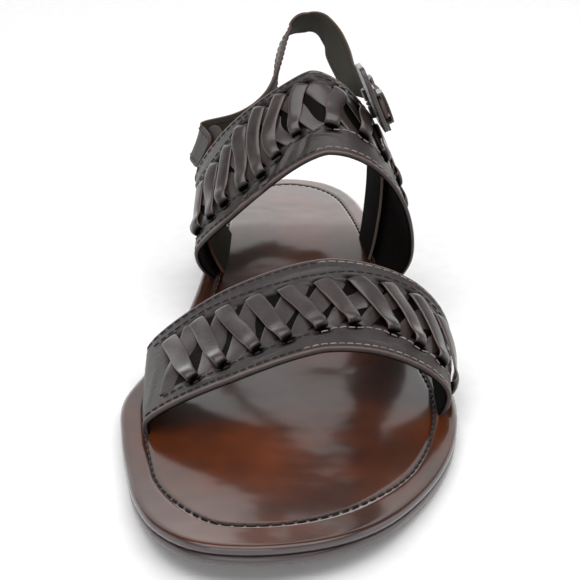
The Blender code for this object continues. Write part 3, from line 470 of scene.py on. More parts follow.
@dataclass(frozen=True)
class BurnishedFootbed:
    """Vegetable tanned leather, dyed, burnished and waxed to a high gloss.

    The colour drifts from orange brown to a darker brown, the attribute burn_and_groove_shade darkens the
    rim, where the edge is burnished, and paints shade into the groove of the seam, the attribute inked
    marks the trimmed edge, and a clear coat gives the mirror of the wax.
    """

    name: str = "burnished_waxed_leather"
    warm: str = "6A2E06"
    deep: str = "3A1402"
    burnt: str = "190802"
    ink: str = "4A3F40"
    roughness: float = 0.45
    specular: float = 0.1
    coat_roughness: float = 0.12
    coat_ior: float = 1.55
    drift_mm: float = 38.0
    pore_mm: float = 0.8
    pore_depth_mm: float = 0.03
    wobble_mm: float = 22.0
    wobble_depth_mm: float = 1.0

    def material(self) -> bpy.types.Material:
        """Make the material.

        Returns:
            The material; its slow wobble bends the mirror and its pores only the colour below.
        """
        material, tree, shader, place = start_material(self.name)
        drift = add_node(tree, "ShaderNodeTexNoise", {
            "Vector": place, "Scale": 1 / (self.drift_mm * MM), "Detail": 3.0, "Roughness": 0.55,
        }).outputs["Fac"]
        colour = add_node(
            tree, "ShaderNodeValToRGB", {"Fac": drift}, ((0.35, self.deep), (0.62, self.warm)),
        ).outputs["Color"]
        # The burn mark darkens the burnished rim and paints shade into the seam's groove
        for name, other in (("burn_and_groove_shade", self.burnt), ("inked", self.ink)):
            mark = add_node(tree, "ShaderNodeAttribute", attribute_name=name).outputs["Fac"]
            colour = add_node(tree, "ShaderNodeMix", {
                0: mark, 6: colour, 7: linear(other),
            }, data_type="RGBA").outputs[2]
        pores, wobble = (
            add_node(tree, "ShaderNodeTexNoise", {
                "Vector": place, "Scale": 1 / (size * MM), "Detail": 2.0,
            }).outputs["Fac"] for size in (self.pore_mm, self.wobble_mm)
        )
        slow = add_node(tree, "ShaderNodeBump", {
            "Height": wobble, "Distance": self.wobble_depth_mm * MM, "Strength": 0.25,
        })
        bump = add_node(tree, "ShaderNodeBump", {
            "Height": pores, "Distance": self.pore_depth_mm * MM, "Strength": 0.5,
            "Normal": slow.outputs["Normal"],
        })
        connect(tree, shader, {
            "Base Color": colour, "Normal": bump.outputs["Normal"], "Coat Normal": slow.outputs["Normal"],
            "Roughness": self.roughness, "Specular IOR Level": self.specular, "Coat Weight": 1.0,
            "Coat Roughness": self.coat_roughness, "Coat IOR": self.coat_ior,
        })
        return material


@dataclass(frozen=True)
class LayeredEdge:
    """Cut leather layers, sanded, inked and polished, so that thin level lines show."""

    name: str
    colour: str
    line: str
    layer_mm: float
    roughness: float = 0.32
    coat: float = 0.5
    coat_roughness: float = 0.18
    fibre_mm: float = 1.2
    fibre_depth_mm: float = 0.04
    waves_per_length: float = 0.314

    def material(self) -> bpy.types.Material:
        """Make the material.

        Returns:
            The material, with one saw wave for each layer, counted upwards.
        """
        material, tree, shader, place = start_material(self.name)
        waves = add_node(tree, "ShaderNodeTexWave", {
            "Vector": place, "Scale": self.waves_per_length / (self.layer_mm * MM), "Distortion": 0.6,
            "Detail": 2.0, "Detail Scale": 0.4,
        }, bands_direction="Z", wave_profile="SAW").outputs["Fac"]
        colour = add_node(
            tree, "ShaderNodeValToRGB", {"Fac": waves}, ((0.0, self.line), (0.16, self.colour)),
        ).outputs["Color"]
        fibres = add_node(tree, "ShaderNodeTexNoise", {
            "Vector": place, "Scale": 1 / (self.fibre_mm * MM), "Detail": 4.0,
        }).outputs["Fac"]
        bump = add_node(tree, "ShaderNodeBump", {
            "Height": fibres, "Distance": self.fibre_depth_mm * MM, "Strength": 0.5,
        })
        connect(tree, shader, {
            "Base Color": colour, "Normal": bump.outputs["Normal"], "Roughness": self.roughness,
            "Coat Weight": self.coat, "Coat Roughness": self.coat_roughness,
        })
        return material


@dataclass(frozen=True)
class PlainFinish:
    """A finish whose colour drifts a little over eight grains: rubber, thread, metal or paper."""

    name: str
    colour: str
    light: str
    roughness: float
    metallic: float = 0.0
    grain_mm: float = 0.6
    depth_mm: float = 0.02

    def material(self) -> bpy.types.Material:
        """Make the material.

        Returns:
            The material.
        """
        material, tree, shader, place = start_material(self.name)
        drift, grain = (
            add_node(tree, "ShaderNodeTexNoise", {
                "Vector": place, "Scale": 1 / (size * MM), "Detail": detail,
            }).outputs["Fac"] for size, detail in ((8 * self.grain_mm, 4.0), (self.grain_mm, 2.0))
        )
        colour = add_node(
            tree, "ShaderNodeValToRGB", {"Fac": drift}, ((0.35, self.colour), (0.65, self.light)),
        ).outputs["Color"]
        bump = add_node(tree, "ShaderNodeBump", {
            "Height": grain, "Distance": self.depth_mm * MM, "Strength": 0.6,
        })
        connect(tree, shader, {
            "Base Color": colour, "Normal": bump.outputs["Normal"], "Roughness": self.roughness,
            "Metallic": self.metallic,
        })
        return material


# Cowhide tanned with bark, dyed through and waxed: a dull black brown whose cut edges stay paler; its flesh
# side is near black, partly the dye and partly painted shade for the inside of the straps
STRAP_LEATHER = Leather(
    "vegetable_tanned_strap_leather", "211819", "342A2A", raw="8A6E66", flesh="0B0807", inner_dull=0.9,
)
# The same hide cut to strips and rubbed in lacing: smoother, with a soft shine along each bend
STRIP_LEATHER = Leather(
    "laced_strip_leather", "241B1B", "3D3231", raw="8A675C", roughness=0.34, coat=0.5, coat_roughness=0.2,
    crease_depth_mm=0.12,
)
# Plain narrow straps with little wax: an even, almost matt brown black
STAY_LEATHER = Leather(
    "plain_stay_leather", "191513", "282320", flesh="38352E", roughness=0.5, coat=0.04,
)
# Lining leather with its rough side out: matt, slightly olive brown
LINING_LEATHER = Leather(
    "rough_lining_leather", "171210", "241E1B", flesh="2B261F", roughness=0.6, coat=0.0, inner_dull=0.8,
)
# Lining with a near-black inside, partly dyed black and partly painted shade for the inside of the shoe:
# hardly any light comes back, but its cut edge is pale
DARK_LINING = Leather(
    "dark_lining_leather", "17110F", "231B18", raw="6E625A", flesh="0B0807", roughness=0.5, inner_dull=0.9,
)
# Burnished and waxed insole: deep orange brown under a clear mirror
FOOTBED_LEATHER = BurnishedFootbed()
# Sole edge, sanded and inked: grey brown with a polished gleam
SOLE_LEATHER = LayeredEdge("inked_sole_leather", "4A3F40", "2A2121", 3.0)
# Heel of stacked leather, inked: fine dark lines between the layers
HEEL_LEATHER = LayeredEdge("stacked_heel_leather", "3B2D27", "1C1412", 3.0)
# Moulded rubber: black, matt, faintly grained
LIFT_RUBBER = PlainFinish("moulded_rubber", "1D1B1A", "2A2726", 0.7)
# Linen thread drawn through wax: grey beige stitches that stand out from the leather
SEAM_THREAD = PlainFinish("waxed_linen_thread", "746863", "958880", 0.55, grain_mm=0.3, depth_mm=0.06)
# The same thread as a near-black copy, painted shade: its stitches read as the small black dents of shaded
# stitch holes
SHADED_THREAD = PlainFinish("shaded_waxed_thread", "0E0A0A", "1D1616", 0.5, grain_mm=0.3, depth_mm=0.06)
# Brass wire darkened with age: grey gold, half bright
AGED_BRASS = PlainFinish("aged_brass", "5F564A", "85796A", 0.33, metallic=1.0)
# Matt paper: a plain white ground
FLOOR_PAPER = PlainFinish("matt_white_paper", "FBFBFB", "FFFFFF", 0.9, grain_mm=1.0, depth_mm=0.0)


Height = Callable[[Array], Array]


@dataclass(eq=False)
class SoleShape:
    """The sole's outline, cut into rings that share one spine.

    A ring is the outline moved inwards. It has rows at equal stations on both sides and a fan of
    points round each end, so rings at any inset join point to point. With a front, the ring ends
    in a straight line at that station.
    """

    front: float | None = None
    rows: int = 110
    fan: int = 34
    points_per_span: int = 24
    heel_fan_end: float = 0.105
    toe_fan_start: float = 0.86
    front_margin: float = 0.012
    fan_overlap: float = 0.004
    loop: Array = field(init=False)
    stations: Array = field(init=False)
    centre: Array = field(init=False)

    def __post_init__(self) -> None:
        """Work out the closed outline, the row stations and the spine."""
        points = np.array(SOLE_OUTLINE) * [SIZES.sole_length, SIZES.half_ball]
        self.loop = self._closed_curve(points, self.points_per_span)
        start, stop = self.heel_fan_end * SIZES.sole_length, self.toe_fan_start * SIZES.sole_length
        if self.front is not None:
            stop = self.front - self.front_margin
        self.stations = np.linspace(start, stop, self.rows)
        lateral, medial = self._sides(self.loop)
        self.centre = 0.5 * (lateral + medial)

    @staticmethod
    def _closed_curve(points: Array, per_span: int) -> Array:
        """Run a centripetal curve through a closed loop of points, by blending three levels.

        Args:
            points: Points of the loop.
            per_span: Points of the curve between two of them.

        Returns:
            Points of the curve.
        """
        p = np.stack([np.roll(points, -k, axis=0) for k in (-1, 0, 1, 2)])
        gap = np.maximum(np.sqrt(np.linalg.norm(np.diff(p, axis=0), axis=-1)), 1e-6)
        knot = np.concatenate([np.zeros((1, len(points))), np.cumsum(gap, axis=0)])[:, :, None, None]
        share = np.arange(per_span)[None, :, None] / per_span
        t = knot[1] + (knot[2] - knot[1]) * share
        p = p[:, :, None, :]
        first = [
            ((knot[k + 1] - t) * p[k] + (t - knot[k]) * p[k + 1]) / (knot[k + 1] - knot[k]) for k in range(3)
        ]
        second = [
            ((knot[k + 2] - t) * first[k] + (t - knot[k]) * first[k + 1]) / (knot[k + 2] - knot[k])
            for k in range(2)
        ]
        curve = ((knot[2] - t) * second[0] + (t - knot[1]) * second[1]) / (knot[2] - knot[1])
        return curve.reshape(-1, 2)

    def _inset(self, distance: float) -> Array:
        """The loop moved inwards along its normals."""
        along = unit(np.roll(self.loop, -1, axis=0) - np.roll(self.loop, 1, axis=0))
        return self.loop + np.stack([along[:, 1], -along[:, 0]], -1) * distance

    def _sides(self, loop: Array) -> tuple[Array, Array]:
        """Find where a loop crosses the row stations.

        Args:
            loop: Points (station, across) all the way round.

        Returns:
            Places across of the lateral side and of the medial side.
        """
        first, last = int(loop[:, 0].argmin()), int(loop[:, 0].argmax())
        lateral = np.roll(loop, -first, axis=0)[: (last - first) % len(loop) + 1]
        medial = np.roll(loop, -last, axis=0)[: (first - last) % len(loop) + 1][::-1]
        return np.interp(self.stations, *lateral.T), np.interp(self.stations, *medial.T)

    def _fan(self, loop: Array, toe: bool) -> Array:
        """Cut a loop with rays from one end of the spine.

        Args:
            loop: Points (station, across) all the way round.
            toe: Whether the fan stands at the toe end.

        Returns:
            Points of the loop on the rays.
        """
        end, way = (-1, 1) if toe else (0, -1)
        origin = np.array([self.stations[end], self.centre[end]])
        away = (loop - origin) * [way, 1]
        ahead = away[away[:, 0] > -self.fan_overlap]
        angle = np.arctan2(ahead[:, 1], ahead[:, 0])
        order = np.argsort(angle)
        rays = np.linspace(math.pi / 2, -math.pi / 2, self.fan + 2)[1:-1]
        radius = np.interp(rays, angle[order], np.linalg.norm(ahead, axis=1)[order])
        if toe and self.front is not None:
            radius = np.minimum(radius, (self.front - origin[0]) / np.maximum(np.cos(rays), 1e-6))
        return origin + np.stack([radius * np.cos(rays) * way, radius * np.sin(rays)], -1)

    def ring(self, distance: float) -> Array:
        """Points (station, across) of the outline at an inset, all the way round.

        Args:
            distance: The inset.

        Returns:
            The ring: lateral side, toe, medial side, heel.
        """
        loop = self._inset(distance)
        lateral, medial = self._sides(loop)
        return np.concatenate([
            np.stack([self.stations, lateral], -1), self._fan(loop, True),
            np.stack([self.stations, medial], -1)[::-1], self._fan(loop, False)[::-1],
        ])

    def spine(self) -> Array:
        """The spine's point for each point of a ring.

        Returns:
            Points (station, across) in the ring's order.
        """
        line = np.stack([self.stations, self.centre], -1)
        toe, heel = np.repeat(line[-1:], self.fan, axis=0), np.repeat(line[:1], self.fan, axis=0)
        return np.concatenate([line, toe, line[::-1], heel])

    def filled(self, distance: float, steps: int) -> list[Array]:
        """Rings from an inset down to the spine, by equal shares of the way between."""
        outer, spine = self.ring(distance), self.spine()
        return [spine + (outer - spine) * share for share in np.linspace(1, 0, steps + 1)[1:]]

    def layer(self, name: str, profile: Sequence[tuple[float, Height]], steps: int = 12) -> Piece:
        """Make a closed layer from its side profile, bottom to top, and fill both faces.

        Args:
            name: Name of the piece.
            profile: Inset and height function of each level.
            steps: Rings on each face.

        Returns:
            The finished piece.
        """
        low, high = profile[0], profile[-1]
        rows = [(ring, low[1]) for ring in self.filled(low[0], steps)[::-1]]
        rows += [(self.ring(inset), height) for inset, height in profile]
        rows += [(ring, high[1]) for ring in self.filled(high[0], steps)]
        points = np.array([
            np.stack([ring[:, 1], to_y(ring[:, 0]), height(ring[:, 0])], -1) for ring, height in rows
        ])
        return grid_object(name, points[None], caps=False, weld=True)


def above_underside(rise: float) -> Height:
    """Height function that follows the outsole's lower face at a fixed rise."""
    return lambda station: underside(station) + rise


def level(height: float) -> Height:
    """Height function of a level plane."""
    return lambda station: np.full_like(station, height)


@dataclass
class Sole:
    """Footbed, outsole, heel block and top lift.

    Edges are side profiles: pairs of an inset from the outline and a share of the thickness.
    """

    footbed_edge: tuple[tuple[float, float], ...] = (
        (0.0012, 0.0), (0.0005, 0.06), (0.0002, 0.25), (0.0001, 0.45), (0.0002, 0.62),
        (0.0005, 0.80), (0.0010, 0.93), (0.0017, 0.99), (0.0024, 1.0),
    )
    inked_share: float = 0.9
    edge_burn: float = 0.55
    rim_burn: float = 0.45
    rim_start: float = 0.0030
    rim_step: float = 0.0005
    rim_depth: float = 0.018
    groove_half: float = 0.0008
    groove_depth: float = 0.00035
    seam_inset: float = 0.0080
    seam_toe_extra: float = 0.0055
    seam_toe_shares: tuple[float, float] = (0.84, 0.97)
    seam_heel_extra: float = 0.0020
    seam_heel_shares: tuple[float, float] = (0.12, 0.02)
    seam_pitch: float = 0.0036
    seam_thread: float = 0.00042
    seam_crown: float = 0.00025
    seam_reach: float = 0.42
    outsole_edge: tuple[tuple[float, float], ...] = (
        (0.0030, 0.0), (0.0016, 0.05), (0.0008, 0.18), (0.0003, 0.38), (0.0002, 0.60),
        (0.0004, 0.82), (0.0009, 0.95), (0.0018, 1.0),
    )
    heel_setback: float = 0.0034
    heel_insets: tuple[float, float, float, float] = (0.0032, 0.0027, 0.0022, 0.0019)
    lift_insets: tuple[float, float, float, float, float] = (0.0042, 0.0036, 0.0031, 0.0027, 0.0030)
    soft_edge: float = 0.0003
    lift_bevel: float = 0.0009
    shape: SoleShape = field(init=False)
    heel_shape: SoleShape = field(init=False)

    def __post_init__(self) -> None:
        """Cut the outlines of the whole sole and of the heel."""
        self.shape = SoleShape()
        self.heel_shape = SoleShape(front=SIZES.heel_breast * SIZES.sole_length - self.heel_setback)

    def seam_line(self, station: Array) -> Array:
        """Distance of the seam from the edge: wider round the toe and the heel.

        Args:
            station: Distance from the back of the heel.

        Returns:
            The inset of the seam.
        """
        share = station / SIZES.sole_length
        far, near = self.seam_heel_shares
        toe, heel = ramp(share, *self.seam_toe_shares), ramp(-share, -far, -near)
        return self.seam_inset + self.seam_toe_extra * toe + self.seam_heel_extra * heel

    def build_footbed(self) -> Piece:
        """Make the footbed: rolled rim, seam groove and a softly dished face.

        The groove is a bell curve across the seam's line and gets painted shade on top of the burn. Burn
        fades from the rim to the spine.

        Returns:
            The dressed piece.
        """
        shape, thick = self.shape, SIZES.footbed
        rows = []

        def add(ring: Array, fall: Array | float, burn_and_groove_shade: Array | float, ink: float = 0.0) -> None:
            """Keep one ring: its fall below the top face, its burn with the groove's painted shade, and its
            ink.
            """
            marks = np.broadcast_arrays(footbed_top(ring[:, 0]) - fall, burn_and_groove_shade, ink)
            rows.append(np.concatenate([ring, np.stack(marks, -1)], axis=1))

        for ring in shape.filled(self.footbed_edge[0][0], 6)[::-1]:
            add(ring, thick, 1.0)
        for inset, share in self.footbed_edge:
            add(shape.ring(inset), thick * (1 - share), self.edge_burn, float(share < self.inked_share))
        for inset in np.arange(self.rim_start, self.rim_depth, self.rim_step):
            ring = shape.ring(inset)
            groove = np.exp(-((inset - self.seam_line(ring[:, 0])) / self.groove_half) ** 2)
            # Painted shade: the seam's groove darkens by half again on top of the rim's burn
            add(ring, self.groove_depth * groove, self.rim_burn + 0.5 * groove)
        fill = shape.filled(self.rim_depth, 26)
        for i, ring in enumerate(fill):
            add(ring, 0.0, self.rim_burn * (1 - (i + 1) / len(fill)) ** 1.5)
        station, across, height, burn_and_groove_shade, inked = np.moveaxis(np.array(rows), -1, 0)
        points = np.stack([across, to_y(station), height], -1)
        piece = grid_object("footbed_dressed", points[None], caps=False, weld=True,
                            attributes={"burn_and_groove_shade": burn_and_groove_shade[None], "inked": inked[None]})
        return dress(piece, FOOTBED_LEATHER.material(), "footbed_leather", "footbed")

    def build_seam(self) -> Piece:
        """Sew the footbed's seam: one low bent thread for each stitch, in the groove.

        Returns:
            The dressed seam.
        """
        step = 0.0005
        insets = np.arange(0.006, 0.016, step)
        rings = np.array([self.shape.ring(d) for d in insets])
        wanted = self.seam_line(rings[0, :, 0])
        nearest = np.clip((wanted - insets[0]) / step, 0, len(insets) - 1.001)
        i, f = nearest.astype(int), (nearest % 1)[:, None]
        n = np.arange(rings.shape[1])
        path = rings[i, n] * (1 - f) + rings[i + 1, n] * f
        path = np.concatenate([path, path[:1]])
        run = run_of(path)
        count = int(round(run[-1] / self.seam_pitch))
        middle = (np.arange(count) + 0.5) * run[-1] / count
        reach = np.linspace(-self.seam_reach, self.seam_reach, 7) * run[-1] / count
        at = middle[:, None] + reach
        station, across = (np.interp(at, run, path[:, k]) for k in (0, 1))
        lift = self.seam_crown * (1 - (reach / reach[-1]) ** 4) - self.seam_thread
        centre = np.stack([across, to_y(station), footbed_top(station) + lift], -1)
        up = np.broadcast_to([0.0, 0.0, 1.0], centre.shape)
        seam = thread("footbed_seam", centre, up, self.seam_thread)
        # The near-black thread copy is painted shade in the seam's groove
        return dress(seam, SHADED_THREAD.material(), "footbed_leather")

    def build_under(self) -> list[Piece]:
        """Make the outsole, the stacked heel and the top lift.

        Returns:
            The three dressed pieces.
        """
        outsole = self.shape.layer("outsole_dressed", [
            (inset, above_underside(SIZES.outsole * share)) for inset, share in self.outsole_edge
        ], 20)
        lift, base = SIZES.top_lift, SIZES.top_lift + SIZES.joint_gap
        heel = self.heel_shape.layer("heel_dressed", list(zip(self.heel_insets, (
            level(base), level(base + self.soft_edge), lambda s: 0.5 * (base + underside(s)),
            above_underside(-SIZES.joint_gap),
        ))))
        rubber = self.heel_shape.layer("top_lift_dressed", list(zip(self.lift_insets, (
            level(0.0), level(self.soft_edge), level(self.lift_bevel), level(lift - self.soft_edge),
            level(lift),
        ))))
        return [
            dress(outsole, SOLE_LEATHER.material(), "sole_leather", "outsole"),
            dress(heel, HEEL_LEATHER.material(), "stacked_leather", "heel_stack"),
            dress(rubber, LIFT_RUBBER.material(), "rubber_top_lift", "top_lift"),
        ]

    def build(self) -> list[Piece]:
        """Build every piece of the sole."""
        return [self.build_footbed(), self.build_seam()] + self.build_under()


def thread(name: str, centre: Array, normal: Array, radius: float) -> Piece:
    """Make stitches: a round thread along each row of points, thin at both ends.

    Its radius shrinks with the root of 1.15 less the fourth power of the place.

    Args:
        name: Name of the piece.
        centre: Middle line of each stitch, shape (stitches, points, 3).
        normal: Outward direction at each of those points.
        radius: Radius of the thread.

    Returns:
        All stitches as one mesh.
    """
    ahead = unit(np.gradient(centre, axis=1))
    side = unit(np.cross(ahead, normal))
    up = np.cross(side, ahead)
    angle = np.linspace(0, 2 * math.pi, 6, endpoint=False)[:, None]
    place = np.linspace(-1, 1, centre.shape[1])
    size = radius * np.sqrt(np.clip(1.15 - place ** 4, 0.1, 1))
    offset = side[:, :, None] * np.cos(angle) + up[:, :, None] * np.sin(angle)
    return grid_object(name, centre[:, :, None] + offset * size[None, :, None, None])


@dataclass(eq=False)
class Last:
    """The foot form that every strap lies on, as a grid of points round its sections."""

    along: int = 200
    around: int = 261
    wall_points: int = 24
    arch_points: int = 120
    stations: Array = field(init=False)
    grid: Array = field(init=False)

    def __post_init__(self) -> None:
        """Run smooth curves through the known sections and space each section evenly."""
        table = np.array(LAST_SECTIONS)
        size = {
            "station": SIZES.sole_length, "height": SIZES.instep_height, "low": SIZES.instep_height,
            "fulness": 1.0, "across": SIZES.half_ball, "foot": SIZES.half_ball, "belly": SIZES.half_ball,
        }
        known = table[:, 0] * SIZES.sole_length
        self.stations = np.linspace(known[0], known[-1], self.along)
        at = {
            name: smooth_curve(known, table[:, i] * size[name.split("_")[-1]], self.stations)[:, None]
            for i, name in enumerate(LAST_COLUMNS)
        }
        medial, lateral = (self._half(at, side) for side in (Side.MEDIAL, Side.LATERAL))
        points = np.concatenate([medial, lateral[:, -2::-1]], axis=1)
        self.grid = np.array([self._even(section) for section in points])

    def _half(self, at: dict[str, Array], side: Side) -> Array:
        """One side of every section: a bowed lower wall, then a curve up to the crest.

        The upper curve is a quarter of a full ellipse: cosine and sine to two over the fulness.

        Args:
            at: Values of the table's columns at each station.
            side: The side to draw.

        Returns:
            Points (across, height), shape (stations, points, 2).
        """
        foot, belly, low, fulness = (
            at[f"{side.value}_{part}"] for part in ("foot", "belly", "low", "fulness")
        )
        rise = np.linspace(0, 1, self.wall_points, endpoint=False)[None]
        lower = np.stack([belly + (foot - belly) * (1 - rise) ** 2, low * rise], -1)
        angle = np.linspace(0, math.pi / 2, self.arch_points)[None]
        out, up = np.cos(angle) ** (2 / fulness), np.sin(angle) ** (2 / fulness)
        upper = np.stack([
            at["crest_across"] + (belly - at["crest_across"]) * out, low + (at["crest_height"] - low) * up,
        ], -1)
        return np.concatenate([lower, upper], axis=1)

    def _even(self, section: Array) -> Array:
        """Space a section's points evenly by length.

        Args:
            section: Points (across, height).

        Returns:
            The even points.
        """
        run = run_of(section)
        even = np.linspace(0, run[-1], self.around)
        return np.stack([np.interp(even, run, section[:, k]) for k in (0, 1)], -1)

    def point(self, station: Array, way: Array) -> Array:
        """World points on the form, by blending the four grid points about each place.

        Args:
            station: Distance from the back of the heel.
            way: Share of the way round, from the medial foot to the lateral foot.

        Returns:
            The points.
        """
        step = self.stations[1] - self.stations[0]
        i = np.clip((station - self.stations[0]) / step, 0, self.along - 1.001)
        j = np.clip(way, 0, 1) * (self.around - 1.001)
        i0, j0 = i.astype(int), j.astype(int)
        fi, fj = (i - i0)[..., None], (j - j0)[..., None]
        flat = (
            self.grid[i0, j0] * (1 - fi) * (1 - fj) + self.grid[i0 + 1, j0] * fi * (1 - fj)
            + self.grid[i0, j0 + 1] * (1 - fi) * fj + self.grid[i0 + 1, j0 + 1] * fi * fj
        )
        return np.stack([flat[..., 0], to_y(station), flat[..., 1] + footbed_top(station)], -1)


@dataclass(eq=False)
class Strap:
    """A strap cut flat and laid round the last.

    Flat places are lengths: along from the medial foot to the lateral foot, and over from the
    front edge to the rear edge. Beyond either foot the strap goes down into its slot.
    """

    last: Last
    edges: Sequence[tuple[float, float, float]]
    offset: float = 0.0
    step: float = 0.0015
    length: float = field(init=False)
    width: float = field(init=False)

    def __post_init__(self) -> None:
        """Measure the strap along its middle line and over its middle."""
        way = np.linspace(0, 1, 60)
        self.length = float(run_of(self._bare(way, np.full(60, 0.5)))[-1])
        ends = self._bare(np.array([0.5, 0.5]), np.array([0.0, 1.0]))
        self.width = float(np.linalg.norm(ends[1] - ends[0]))

    def _bare(self, way: Array, over: Array) -> Array:
        """Points on the last by shares.

        Args:
            way: Share of the way round.
            over: Share over the strap.

        Returns:
            The points.
        """
        table = np.array(self.edges)
        front, rear = (
            smooth_curve(table[:, 0], table[:, k], way) * SIZES.sole_length for k in (1, 2)
        )
        return self.last.point(front + (rear - front) * over, way)

    def _sheet(self, along: Array, over: Array) -> Array:
        """Points on the last at flat places, going straight down beyond the feet.

        Args:
            along: Places along the strap.
            over: Places over the strap.

        Returns:
            The points.
        """
        points = self._bare(along / self.length, over / self.width)
        points[..., 2] -= np.maximum(-along, 0) + np.maximum(along - self.length, 0)
        return points

    def place(self, along: Array, over: Array, out: Array) -> Array:
        """World points at flat places: the sheet moved out along its normal.

        Args:
            along: Places along the strap.
            over: Places over the strap.
            out: Distances out from the last.

        Returns:
            The points.
        """
        along, over, out = np.broadcast_arrays(along, over, out)
        step = self.step
        a = self._sheet(along + step, over) - self._sheet(along - step, over)
        b = self._sheet(along, over + step) - self._sheet(along, over - step)
        return self._sheet(along, over) + unit(np.cross(a, b)) * (out + self.offset)[..., None]


Relief = Callable[[Array, Array], tuple[Array, Array]]

# Rolled front edge of a woven strap: middle and half width of its bead and of the worn line on it
BEAD_LINE = (0.0007, 0.0013)
WORN_LINE = (0.0009, 0.0007)
WORN_MARK = 0.55


def corner_inset(distance: Array, radius: float) -> Array:
    """How far a round corner cuts in at a distance from the end: r - sqrt(r^2 - (r - d)^2)."""
    return radius - np.sqrt(radius ** 2 - np.clip(radius - distance, 0.0, radius) ** 2)


def dense_ends(first: float, last: float, corners: tuple[float, float], count: int = 80) -> Array:
    """Places along a piece that crowd together round its corners.

    Args:
        first: First place.
        last: Last place.
        corners: Radius of the corners at the first and at the last end.
        count: Places between the corners.

    Returns:
        The places, rising.
    """
    turn = np.linspace(0, math.pi / 2, 16)
    return np.unique(np.round(np.concatenate([
        first + corners[0] * (1 - np.cos(turn)), np.linspace(first + corners[0], last - corners[1], count),
        last - corners[1] * (1 - np.cos(turn)),
    ]), 7))


def wall(
    name: str, surface: Strap, along: Array, width: float, thickness: float,
    relief: Relief | None = None, across: int = 100, bead: float = 0.0,
    corners: tuple[float, float] = (0.0, 0.0),
) -> Piece:
    """Make a leather wall with rounded edges.

    The profile runs over the outer face, round the rear edge, back along the inner face and
    round the front edge. Relief moves the outer face in or out, and a bead is a bump along the
    front edge, worn pale on its top.

    Args:
        name: Name of the piece.
        surface: Bends flat places into world points.
        along: Places along the strap.
        width: Width of the strap.
        thickness: Thickness of the leather.
        relief: Gives the outer face's height change and its mark of painted shade.
        across: Points over the outer face.
        bead: How far a rolled front edge stands out.
        corners: Radius of the round corners at the first and at the last end.

    Returns:
        The finished wall.
    """
    half = thickness / 2
    turn = np.linspace(0, math.pi, 9)[1:-1]
    outer = np.linspace(half, width - half, across)
    inner = np.linspace(width - half, half, across // 4)
    face, back, edge = np.zeros(across), np.ones(len(inner)), np.ones(len(turn))
    over = np.concatenate([outer, width - half + half * np.sin(turn), inner, half - half * np.sin(turn)])
    out = np.concatenate([
        face + thickness, half + half * np.cos(turn), 0 * back, half - half * np.cos(turn),
    ])
    inside = np.concatenate([face, turn / math.pi > 0.6, back, turn / math.pi < 0.4])
    raw = np.concatenate([face, edge, 0 * back, edge * (bead == 0)])
    a, o = np.meshgrid(along, over, indexing="ij")
    cut = corner_inset(a - along[0], corners[0]) + corner_inset(along[-1] - a, corners[1])
    o = width / 2 + (o - width / 2) * (1 - 2 * cut / width)
    height, worn, within = (np.broadcast_to(row.astype(float), a.shape).copy() for row in (out, raw, inside))
    painted_shade = np.zeros_like(a)
    share = np.clip(height / thickness, 0, 1)
    if bead > 0:
        height = height + bead * hump(o, *BEAD_LINE) * share
        worn = np.maximum(worn, WORN_MARK * hump(o, *WORN_LINE) * (share > 0.9))
    if relief is not None:
        change, dark = relief(a, o)
        height = height + change * share
        # The relief's painted shade, kept to the outer face
        painted_shade = dark * share
    marks = {"inside": within[None], "raw": worn[None], "painted_shade": painted_shade[None]}
    return grid_object(name, surface.place(a, o, height)[None], attributes=marks)


@dataclass(frozen=True)
class Weave:
    """Strips of one strap, in millimetres on the flat strap.

    A row of the top table holds a strip's front end (along, over), its rear end (along, over) and
    a bend: 1 is straight, more stays upright at the front end and leans at the rear end. A row of
    the under table holds the front end and the rear end alone.
    """

    top: tuple[tuple[float, float, float, float, float], ...]
    under: tuple[tuple[float, float, float, float], ...]
    top_width: float
    under_width: float
    slack: float

    def edge(self, along: Array, rear: bool) -> Array:
        """Place over of the line of holes at the front or at the rear.

        Args:
            along: Places along the strap, in metres.
            rear: Whether the rear holes are meant.

        Returns:
            The places over, in metres.
        """
        rows = np.array(self.top) * MM
        first = 2 if rear else 0
        return np.interp(along, rows[:, first], rows[:, first + 1])


FRONT_WEAVE = Weave(
    top=(
        (25.2, 8.6, 16.6, 41.0, 0.80), (36.7, 9.6, 27.4, 41.6, 0.80), (49.6, 11.1, 36.9, 41.0, 0.88),
        (61.0, 10.9, 47.7, 40.0, 0.92), (73.2, 12.2, 58.7, 39.4, 1.00), (84.1, 14.6, 70.6, 39.2, 1.10),
        (98.0, 14.4, 81.0, 41.0, 1.25), (108.2, 12.8, 91.6, 41.6, 1.40), (118.1, 12.9, 101.2, 41.6, 1.50),
        (128.0, 12.6, 111.6, 40.6, 1.50),
    ),
    under=(
        (13.8, 9.4, 27.0, 39.5), (28.3, 10.2, 40.0, 39.5), (39.8, 11.2, 52.0, 39.2),
        (52.7, 12.2, 64.5, 38.4),
        (64.2, 12.4, 76.5, 37.8), (76.4, 13.4, 88.5, 38.2), (87.3, 15.4, 99.5, 39.2),
        (101.0, 15.4, 112.0, 39.8),
        (111.4, 14.2, 122.0, 39.6), (121.5, 14.2, 131.0, 38.6),
    ),
    top_width=6.2,
    under_width=8.9,
    slack=0.25,
)
